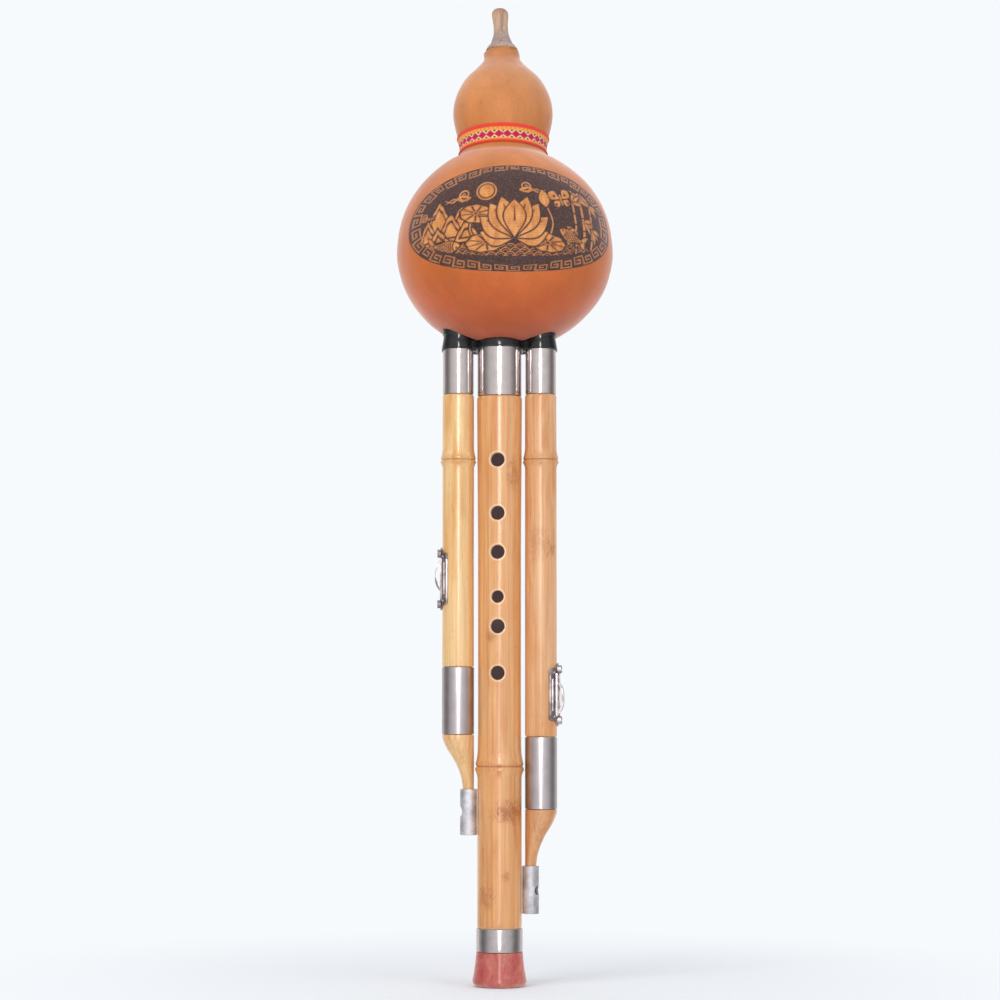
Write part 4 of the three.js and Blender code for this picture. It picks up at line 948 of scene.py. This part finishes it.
def gourd_finish():
    """Waxed gourd skin, redder towards its foot and painted darker there as shade from light above, with the
    panel burnt in by distances kept on the mesh.
    """
    made, tree = blank("waxed_gourd")
    spot = placed(tree)
    height = parts(spot)[2]
    soft = use(CLOUDINESS, placed(tree, 0.4), 34.0)
    grain = noise(spot, 1700.0, 2.0, 0.6)
    freckle = step(noise(spot, 420.0, 3.0, 0.65), 0.57, 0.72)
    streak = noise(placed(tree, 0.22), 160.0, 3.0, 0.6)
    patch = step(noise(placed(tree, 0.7), 46.0, 3.0, 0.55, 0.6), 0.5, 0.68)
    # Colour by height: redder towards the foot, and also darker there, which is painted shade from light above
    skin = ramp(
        step(height, 0.295, 0.445, smooth=False),
        (0.0, "#B04A1C"), (0.13, "#C35A20"), (0.22, "#CA6722"), (0.42, "#D0722C"), (0.64, "#CC7A32"),
        (0.78, "#D2874E"), (0.88, "#D18E5A"), (0.96, "#C48250"), (1.0, "#C08258"),
    )  # fmt: skip
    skin = skin.shaded(soft["Coarse"], (0.3, 0.84), (0.66, 1.06))
    skin = skin.shaded(streak, (0.35, 0.93), (0.65, 1.04))
    skin = blend(freckle * 0.2, blend(patch * 0.3, skin, "#B5642C"), "#94451E")
    skin = skin.shaded(grain, (0.3, 0.93), (0.7, 1.06))
    picture, depth, hooks = (attribute(tree, key) for key in ("picture", "depth", "hooks"))
    in_ring = step(depth, 0.45, 0.5) * step(depth, RING_WIDTH - 0.25, RING_WIDTH - 0.35)
    fret = in_ring * (key_fret(depth, hooks) + 1.0) - 1.0
    outside = step(depth, 0.05, -0.05)
    bare = maths("MAXIMUM", step(maths("MAXIMUM", picture, fret), -0.09, 0.1), outside)
    tone = noise(placed(tree, 0.5), 330.0, 3.0, 0.6)
    figure = ramp(tone, (0.3, "#BE7338"), (0.5, "#D58D4B"), (0.68, "#E2A160"))
    figure = blend(step(picture, 0.6, 0.02) * 0.6, figure, "#8A4621")
    hatch = maths("SINE", tone * 9.0 + height * 5200.0)
    figure = blend(step(hatch, 0.1, 0.9) * 0.16, figure, "#7B3F22")
    run = parts(wire(tree, "ShaderNodeUVMap"))[1]
    rim = step(run, 1.112, 1.134) * step(freckle, -0.5, 0.6)
    skin = blend(rim * 0.65, skin, "#A8692C")
    burnt = ramp(grain, (0.3, "#33211F"), (0.5, "#48322F"), (0.7, "#664A42"))
    carve = (1.0 - bare) * (grain * 0.35) + bare
    return finish(made, {
        "Base Color": blend(bare, burnt, blend(outside, figure, skin)),
        "Roughness": bare * -0.28 + (soft["Fine"] * -0.1 + 0.88),
        "Normal": bump(noise(spot, 900.0, 3.0, 0.6), 0.12, 0.0002, bump(carve, 0.9, 0.00022)),
        "Specular IOR Level": 0.32, "Sheen Weight": 1.0, "Sheen Roughness": 0.36, "Sheen Tint": "#FFE6E0",
    })  # fmt: skip


def ribbon_finish():
    """Woven band: red selvages, orange and yellow stripes, cream lozenges, magenta diamonds, green knots."""
    made, tree = blank("woven_band")
    u, v, _ = parts(wire(tree, "ShaderNodeUVMap"))
    dx = abs(maths("FRACT", u * 32.0) - 0.5) * 4.25
    from_middle = abs(v - 0.45)
    reach = dx * 0.78 + from_middle * 9.0
    edges = ramp(v, (0.0, "#EC3626"), (0.13, "#F8503A"), (0.17, "#FB9446"), (0.235, "#FFB35A"))
    tops = ramp(v, (0.66, "#FFB35A"), (0.72, "#FB9E48"), (0.80, "#F88E42"), (0.845, "#F64A38"))
    colour = blend(step(v, 0.4, 0.41), edges, tops)
    dash = step(maths("SINE", u * 402.0), -0.1, 0.3) * step(abs(v - 0.755), 0.05, 0.035)
    colour = blend(dash, colour, "#FBC24E")
    field = blend(step(dx, 1.42, 1.6), "#FDAE5C", "#5F6E2C")
    for outer, inner, code in ((2.62, 2.5, "#FCE6BE"), (2.08, 1.98, "#E4623F"), (1.5, 1.36, "#CC1462")):
        field = blend(step(reach, outer, inner), field, code)
    colour = blend(step(from_middle, 0.215, 0.205), colour, field)
    weave = maths("SINE", u * (2 * math.pi * 340)) * maths("SINE", v * (2 * math.pi * 24))
    return finish(made, {
        "Base Color": colour.shaded(weave * 0.25 + 0.5, (0.2, 0.72), (0.7, 1.05)),
        "Normal": bump(weave, 0.5, 0.0001),
        "Roughness": 0.85, "Sheen Weight": 0.15, "Specular IOR Level": 0.2,
    })  # fmt: skip


def bamboo_finish(name, tones, nodes=(), stains=(), centre_x=0.0, skin=0.0, bore=0.0, rims=False, gloss=1.0):
    """Varnished bamboo: long fibres, darker pores, scorched node grooves and brown flecks at given places.
    Where a hole is cut through it the wall is raw and pale, and the bore, tinted lilac-grey, stays dark but for
    a faint painted glow that stands in for dim light inside it."""
    made, tree = blank(name)
    spot = placed(tree)
    aside, forth, height = parts(spot)
    fibre = use(FIBRES, spot, 520.0)
    colour = ramp(fibre["Bands"], (0.22, tones[2]), (0.5, tones[1]), (0.78, tones[0]))
    colour = colour.shaded(fibre["Lines"], (0.3, 0.88), (0.62, 1.05))
    colour = blend(fibre["Pores"] * 0.35, colour, "#94532A")
    long_tone = noise(placed(tree, 0.16), 120.0, 3.0, 0.55, 0.4)
    colour = colour.shaded(long_tone, (0.32, "#F3D9B8"), (0.5, "#FFFFFF"), (0.68, "#FFF3EA"))
    for at, width in nodes:
        away = abs(height - at * MM)
        colour = blend(step(away, width * MM, 0.1 * MM) * 0.5, colour, "#8A4F26")
        colour = blend(step(away, 3.2 * MM, 0.6 * MM) * 0.2, colour, "#B8702F")
    speck = noise(placed(tree, 0.5), 2100.0, 2.0, 0.6)
    drift = noise(placed(tree, 0.7), 420.0)
    for x, y, z, wide, high, strength in stains:
        middle = (-x / wide, -y / wide, -z / high)
        near = 1.0 - length_of(placed(tree, 1 / (high * MM), 1 / (wide * MM), middle))
        mark = step(near * 0.24 + (drift * 0.45 + speck * 0.6), 0.6, 0.74) * step(near, 0.0, 0.4)
        colour = blend(step(near, 0.0, 0.8) * (0.5 * strength), colour, "#BC6A32")
        colour = blend(mark * strength, colour, "#9C4E1A")
    rough, cut_and_bore_glow = fibre["Lines"] * 0.12 + 0.3, {}
    if bore:
        x = aside - centre_x * MM
        radius = maths("SQRT", x * x + forth * forth)
        if rims:
            cut = step(attribute(tree, "depth"), 0.04, 0.16)
            colour = blend(step(attribute(tree, "rim"), 1.15, 0.6) * 0.62, colour, "#F3C9A0")
        else:
            cut = step(radius, (skin - 0.2) * MM, (skin - 0.32) * MM)
        colour = blend(cut, colour, ramp(fibre["Lines"], (0.3, "#DDB48A"), (0.7, "#F2D6B4")))
        # Deep in the bore: a lilac-grey tint, and further down a faint painted lilac glow in place of the dim
        # light in the holes
        deep = step(radius, (bore + 1.6) * MM, (bore + 0.5) * MM)
        colour = blend(deep, colour, "#C9B5B4")
        rough = maths("MAXIMUM", rough, cut * 0.9)
        # The emission here is a painted glow inside the bore, though nothing there is a lamp
        cut_and_bore_glow = {"Coat Weight": cut * -gloss + gloss, "Emission Strength": deep * 0.03}
    return finish(made, {
        "Base Color": colour, "Roughness": rough,
        "Normal": bump(fibre["Lines"] + fibre["Bands"], 0.14, 0.00012),
        # The emission colour is the lilac of the painted glow in the bore
        "Coat Weight": 1.0, "Coat Roughness": 0.23, "Specular IOR Level": 0.3, "Emission Color": "#B9A0A8",
        **cut_and_bore_glow,
    })  # fmt: skip


def metal_finish(name, pale, deep, rough, lines, strength, smudge=0.12, pitted=0.0):
    """Turned metal: fine lines round it, smudges that dull it, and on a cast piece small dark pits."""
    made, tree = blank(name)
    spot = placed(tree)
    turning = use(LATHE, spot, lines)
    colour = ramp(turning["Smudge"], (0.3, deep), (0.65, pale))
    if pitted:
        colour = blend(step(noise(spot, 1100.0, 3.0, 0.7), 0.58, 0.7) * pitted, colour, "#5E5C60")
    return finish(made, {
        "Base Color": colour, "Metallic": 1.0, "Roughness": (turning["Smudge"] - 0.4) * smudge + rough,
        "Normal": bump(turning["Lines"], strength, 0.00005),
    })  # fmt: skip


def black_finish():
    """Glossy moulded black."""
    made, tree = blank("glossy_black")
    soft = use(CLOUDINESS, placed(tree), 90.0)
    return finish(made, {
        "Base Color": ramp(soft["Coarse"], (0.3, "#0E0F12"), (0.7, "#1B1D21")),
        "Roughness": ramp(soft["Fine"], (0.35, 0.1), (0.7, 0.2)), "Specular IOR Level": 0.55,
    })  # fmt: skip


def bell_finish():
    """Polished marbled red and orange, a little light passing into it."""
    made, tree = blank("marbled_resin")
    spot = placed(tree, 0.8)
    swirl = noise(spot, 75.0, 3.0, 0.6, 1.6)
    colour = ramp(swirl, (0.3, "#AE4F49"), (0.46, "#C2625A"), (0.6, "#C97A66"), (0.74, "#CC9A76"))
    veins = step(abs(noise(spot, 50.0, 4.0, 0.6, 2.2) - 0.5), 0.04, 0.0)
    return finish(made, {
        "Base Color": blend(veins * 0.3, colour, "#98393A"),
        "Roughness": ramp(swirl, (0.3, 0.15), (0.7, 0.22)),
        "Specular IOR Level": 0.5, "Subsurface Weight": 0.08, "Subsurface Scale": 0.004,
    })  # fmt: skip


def stem_finish():
    """Dry stem: pale and brownish at its tip, greyer lower down, with fibres."""
    made, tree = blank("dry_stem")
    spot = placed(tree)
    fibre = use(FIBRES, spot, 520.0)
    colour = ramp(
        step(parts(spot)[2], 0.4385, 0.4605, smooth=False),
        (0.0, "#A8702E"), (0.07, "#B4813C"), (0.105, "#BBA39A"), (0.3, "#A99089"), (0.55, "#C2A48C"),
        (0.84, "#CBA283"), (1.0, "#A98068"),
    )  # fmt: skip
    colour = colour.shaded(fibre["Lines"], (0.3, 0.7), (0.65, 1.08))
    colour = blend(step(fibre["Bands"], 0.5, 0.66) * 0.5, colour, "#7E6461")
    return finish(made, {
        "Base Color": blend(fibre["Pores"] * 0.5, colour, "#7C5E50"),
        "Normal": bump(fibre["Lines"], 0.5, 0.0002), "Roughness": 0.55, "Specular IOR Level": 0.35,
    })  # fmt: skip


def plain_finish(name, pale, deep, rough, shine=0.5):
    """A plain colour with soft changes in its tone and roughness."""
    made, tree = blank(name)
    soft = use(CLOUDINESS, placed(tree), 140.0)
    return finish(made, {
        "Base Color": ramp(soft["Fine"], (0.3, deep), (0.7, pale)), "Specular IOR Level": shine,
        "Roughness": ramp(soft["Coarse"], (0.3, rough - 0.08), (0.7, rough + 0.08)),
    })  # fmt: skip


# A node is its height and its groove's width; a stain its place, half width, half height and strength
DRONE_NODES = [(DRONE_NODE, 0.45)]
BY_SLOT = {
    "gourd": gourd_finish(),
    "gourd_stem": stem_finish(),
    "ribbon": ribbon_finish(),
    "black_base": black_finish(),
    "melody_bamboo": bamboo_finish(
        "melody_cane", ("#EAB57C", "#E0A368", "#D28F54"), [(MELODY_NODE, 0.55)],
        [(5.0, -8.0, 79.5, 12.5, 8.0, 0.65), (-6.5, -7.5, 41.0, 7.0, 9.0, 0.4),
         (6.5, -7.4, 234.0, 6.0, 12.0, 0.35), (-3.5, -9.0, 160.0, 4.0, 5.0, 0.4),
         (3.0, -9.5, 50.0, 3.0, 4.0, 0.4)],
        bore=6.2, rims=True,
    ),
    "left_bamboo": bamboo_finish(
        "left_cane", ("#F2CE95", "#EABE81", "#DEAB69"), DRONE_NODES, centre_x=-DRONE_X, skin=7.3, bore=3.6,
    ),
    "right_bamboo": bamboo_finish(
        "right_cane", ("#E9BB8E", "#DFA979", "#D29763"), DRONE_NODES,
        [(DRONE_X - 1.5, -7.0, 203.0, 8.0, 12.0, 0.2), (DRONE_X + 4.5, -5.5, 200.0, 4.5, 6.5, 0.35)],
        centre_x=DRONE_X, skin=7.3, bore=3.6, gloss=0.4,
    ),
    "ferrule_steel": metal_finish("polished_steel", "#D6CCCA", "#CAC0BF", 0.17, 2600.0, 0.03, 0.01),
    "brushed_ferrule": metal_finish("brushed_steel", "#C6BDC0", "#BBB2B5", 0.32, 2000.0, 0.12, 0.03),
    "sleeve_aluminium": metal_finish("rough_alloy", "#E6E4E8", "#B3B1B7", 0.6, 700.0, 0.9, 0.3, 0.55),
    "shutter_alloy": metal_finish("plated_alloy", "#CBC1C1", "#71656A", 0.34, 1800.0, 0.35, 0.35, 0.35),
    "bell_resin": bell_finish(),
    "reed_brass": metal_finish("reed_brass", "#D2AE5A", "#BF9844", 0.3, 2600.0, 0.3),
    "seal_rubber": plain_finish("seal_rubber", "#37373A", "#29292B", 0.8),
    "reed_wood": bamboo_finish("reed_cane", ("#CFA36B", "#BE8F58", "#A87A46")),
}  # fmt: skip
BY_NODE = {
    "left_tail": bamboo_finish("left_tail_cane", ("#F0C892", "#E6B87E", "#D9A468")),
    "right_tail": bamboo_finish("right_tail_cane", ("#E2AB78", "#D69A66", "#C78751")),
    "bell_ferrule": metal_finish("turned_steel", "#CFC6C6", "#BDB4B5", 0.2, 1500.0, 0.06, 0.06),
}


# The solids: materials, corners merged and rounded, even shading


def modifier_tree(name, build):
    """A geometry tree whose geometry goes in, through what a function adds, and out."""
    tree = bpy.data.node_groups.new(name, "GeometryNodeTree")
    for way in ("INPUT", "OUTPUT"):
        tree.interface.new_socket("Geometry", in_out=way, socket_type="NodeSocketGeometry")
    start, end = tree.nodes.new("NodeGroupInput"), tree.nodes.new("NodeGroupOutput")
    join(end, {0: build(Wire(start.outputs[0]))})
    return tree


def merge_corners(solid):
    return wire(solid.tree, "GeometryNodeMergeByDistance", {"Geometry": solid, "Distance": 4e-6})


def shade_evenly(solid):
    """Smooth but for edges sharper than 33 degrees."""
    tree, kind = solid.tree, "GeometryNodeSetShadeSmooth"
    even = wire(tree, kind, {"Geometry": solid, "Shade Smooth": True})
    angle = wire(tree, "GeometryNodeInputMeshEdgeAngle", out="Unsigned Angle")
    wide = wire(tree, "FunctionNodeCompare", {0: angle, 1: math.radians(33)}, operation="GREATER_THAN")
    return wire(tree, kind, {"Geometry": even, "Selection": wide, "Shade Smooth": False}, domain="EDGE")


merging = modifier_tree("merge_corners", merge_corners)
shading = modifier_tree("even_shading", shade_evenly)
EDGE_ROUNDING = {
    "shutter_slide": 0.36, "shutter_plate": 0.2, "tip_sleeve": 0.2, "lower_ferrule": 0.15,
    "top_ferrule": 0.12, "bell_ferrule": 0.15, "shutter_screw_low": 0.1, "shutter_screw_high": 0.1,
    "tail": 0.25,
}  # fmt: skip
for row in frame["record"]["subparts"]:
    node = frame["nodes"][row["node"]]
    node.data.materials.clear()
    node.data.materials.append(BY_NODE.get(row["node"]) or BY_SLOT[row["material_slot"]])
    node.modifiers.new("merge_corners", "NODES").node_group = merging
    for ending, width in EDGE_ROUNDING.items():
        if row["node"].endswith(ending):
            rounding = node.modifiers.new("rounded_edges", "BEVEL")
            rounding.width = width * MM
            rounding.segments = 3
            rounding.limit_method = "ANGLE"
            rounding.angle_limit = math.radians(40)
    node.modifiers.new("even_shading", "NODES").node_group = shading

gourd_shell(BY_SLOT["gourd"])
ribbon(BY_SLOT["ribbon"])
mouthpiece(BY_SLOT["gourd_stem"])
melody_bamboo(BY_SLOT["melody_bamboo"])
drone_bamboo(
    "left", BY_SLOT["left_bamboo"], x=-DRONE_X, out=-math.pi / 2, shutter=186.5, up=1,
    low=130.25, shoulder=145.9, seed=6.0,
)  # fmt: skip
drone_bamboo(
    "right", BY_SLOT["right_bamboo"], x=DRONE_X, out=math.pi / 2 - math.radians(12), shutter=133.0, up=-1,
    low=97.05, shoulder=113.8, seed=8.0,
)  # fmt: skip
steel = BY_SLOT["ferrule_steel"]
top_ferrule("melody", "melody_pipe", steel, x=0.0, radius=10.3, inner=8.75, longer=1.0)
for side, x in (("left", -DRONE_X), ("right", DRONE_X)):
    top_ferrule(side, f"{side}_drone", steel, x, radius=7.2, inner=5.95)
bell(BY_SLOT["bell_resin"])
# The fillets between the collars get a darker, duller copy of the base's glossy black: painted shade where the
# collars keep the light off the web
shaded_web_black = plain_finish("shaded_web_black", "#0B0B0E", "#060608", 0.5, shine=0.15)
for side, way in (("left", -1), ("right", 1)):
    base_valley(f"{side}_front_valley", way, True, shaded_web_black)
    base_valley(f"{side}_back_valley", way, False, shaded_web_black)


# The stage

PALE = "#F7FAFD"


def seen_directly(tree):
    """1 for rays from the camera and for reflected and refracted ones, 0 for the rest."""
    rays = wire(tree, "ShaderNodeLightPath").siblings()
    bent = rays["Is Glossy Ray"] + rays["Is Transmission Ray"]
    return maths("ADD", rays["Is Camera Ray"], bent, clamp=True)


def stage_material(name, colour, near, far):
    """Pale ground that keeps shadows near the object and melts into the background farther off."""
    made, tree = blank(name)
    finish(made, {"Base Color": colour, "Roughness": 0.9, "Specular IOR Level": 0.1})
    share = step(length_of(placed(tree, 0)), near, far) * seen_directly(tree)
    ground = Wire(tree.nodes["Principled BSDF"].outputs[0])
    glow = wire(tree, "ShaderNodeEmission", {"Color": colour, "Strength": 1.0})
    both = wire(tree, "ShaderNodeMixShader", {0: share, 1: ground, 2: glow})
    join(tree.nodes["Material Output"], {0: both})
    return made


side = 3.0
floor_corners = [(-side, -side, 0), (side, -side, 0), (side, side, 0), (-side, side, 0)]
floor = mesh_object("floor", floor_corners, [(0, 1, 2, 3)], stage_material("pale_floor", PALE, 0.06, 0.32))
floor.location.z = -0.0003
floor.visible_glossy = False

world = bpy.data.worlds.new("studio")
bpy.context.scene.world = world
world.use_nodes = True
air = world.node_tree
fill = wire(air, "ShaderNodeBackground", {"Color": "#F3F6FB", "Strength": 0.68})
behind = wire(air, "ShaderNodeBackground", {"Color": PALE, "Strength": 1.0})
both = wire(air, "ShaderNodeMixShader", {0: seen_directly(air), 1: fill, 2: behind})
join(air.nodes["World Output"], {0: both})


def lamp(name, place, aim, width, height, power, colour="#FFFFFF"):
    """A rectangular softbox that the camera doesn't see."""
    light = bpy.data.lights.new(name, "AREA")
    light.shape = "RECTANGLE"
    light.size, light.size_y = width, height
    light.energy = power
    light.color = tint(colour)[:3]
    made = bpy.data.objects.new(name, light)
    bpy.context.scene.collection.objects.link(made)
    made.location = place
    made.rotation_euler = (Vector(aim) - Vector(place)).to_track_quat("-Z", "Y").to_euler()
    made.visible_camera = False
    return made


for name, middle, high, power in (("upper_strip", 0.33, 0.26, 0.78), ("lower_strip", 0.05, 0.296, 0.33)):
    strip = lamp(name, (0.0, -0.42, middle), (0, 0, middle), 0.06, high, power)
    strip.visible_diffuse = False
for name, place, size, power, colour in (
    ("key_softbox", (-0.75, -0.85, 0.8), 0.7, 5.6, "#FFFBF5"),
    ("fill_softbox", (0.85, -0.8, 0.36), 0.8, 4.0, "#F8FAFF"),
    ("top_softbox", (0.0, 0.1, 1.15), 0.8, 1.5, "#FFFFFF"),
):
    lamp(name, place, (0, 0, 0.24), size, size, power, colour).visible_glossy = False


def studio_wall():
    """A wall curved round the front of the stage, seen only in reflections, so that metal shows its own form:
    pale behind the camera and darker grey towards its two ends."""
    radius, half, columns = 0.6, math.radians(118), 61
    turn = np.linspace(-half, half, columns)
    points = np.vstack([about_axis(radius, turn, height) for height in (-0.3, 1.1)])
    paint, tree = blank("studio_wall")
    aside = abs(parts(wire(tree, "ShaderNodeTexCoord", out="Object"))[0]) / radius
    tone = ramp(aside, (0.0, 0.95), (0.5, 0.86), (0.8, 0.7), (0.93, 0.45), (1.0, 0.22))
    glow = wire(tree, "ShaderNodeEmission", {"Color": tone, "Strength": 1.0})
    join(tree.nodes["Material Output"], {0: glow})
    made = mesh_object("studio_wall", points, rings(2, columns).tolist(), paint)
    for kind in ("camera", "diffuse", "shadow", "transmission"):
        setattr(made, f"visible_{kind}", False)


studio_wall()

view = bpy.data.cameras.new("camera")
view.lens = 97.2
view.sensor_width = 36.0
view.shift_x = 0.0005
view.shift_y = 0.0085
view.clip_start = 0.05
camera = bpy.data.objects.new("camera", view)
camera.location = (0, -1.25, 0.1331)
camera.rotation_euler = (math.radians(90 + 3.94), 0, 0)
bpy.context.scene.collection.objects.link(camera)
bpy.context.scene.camera = camera
bpy.context.scene.view_settings.view_transform = "Standard"
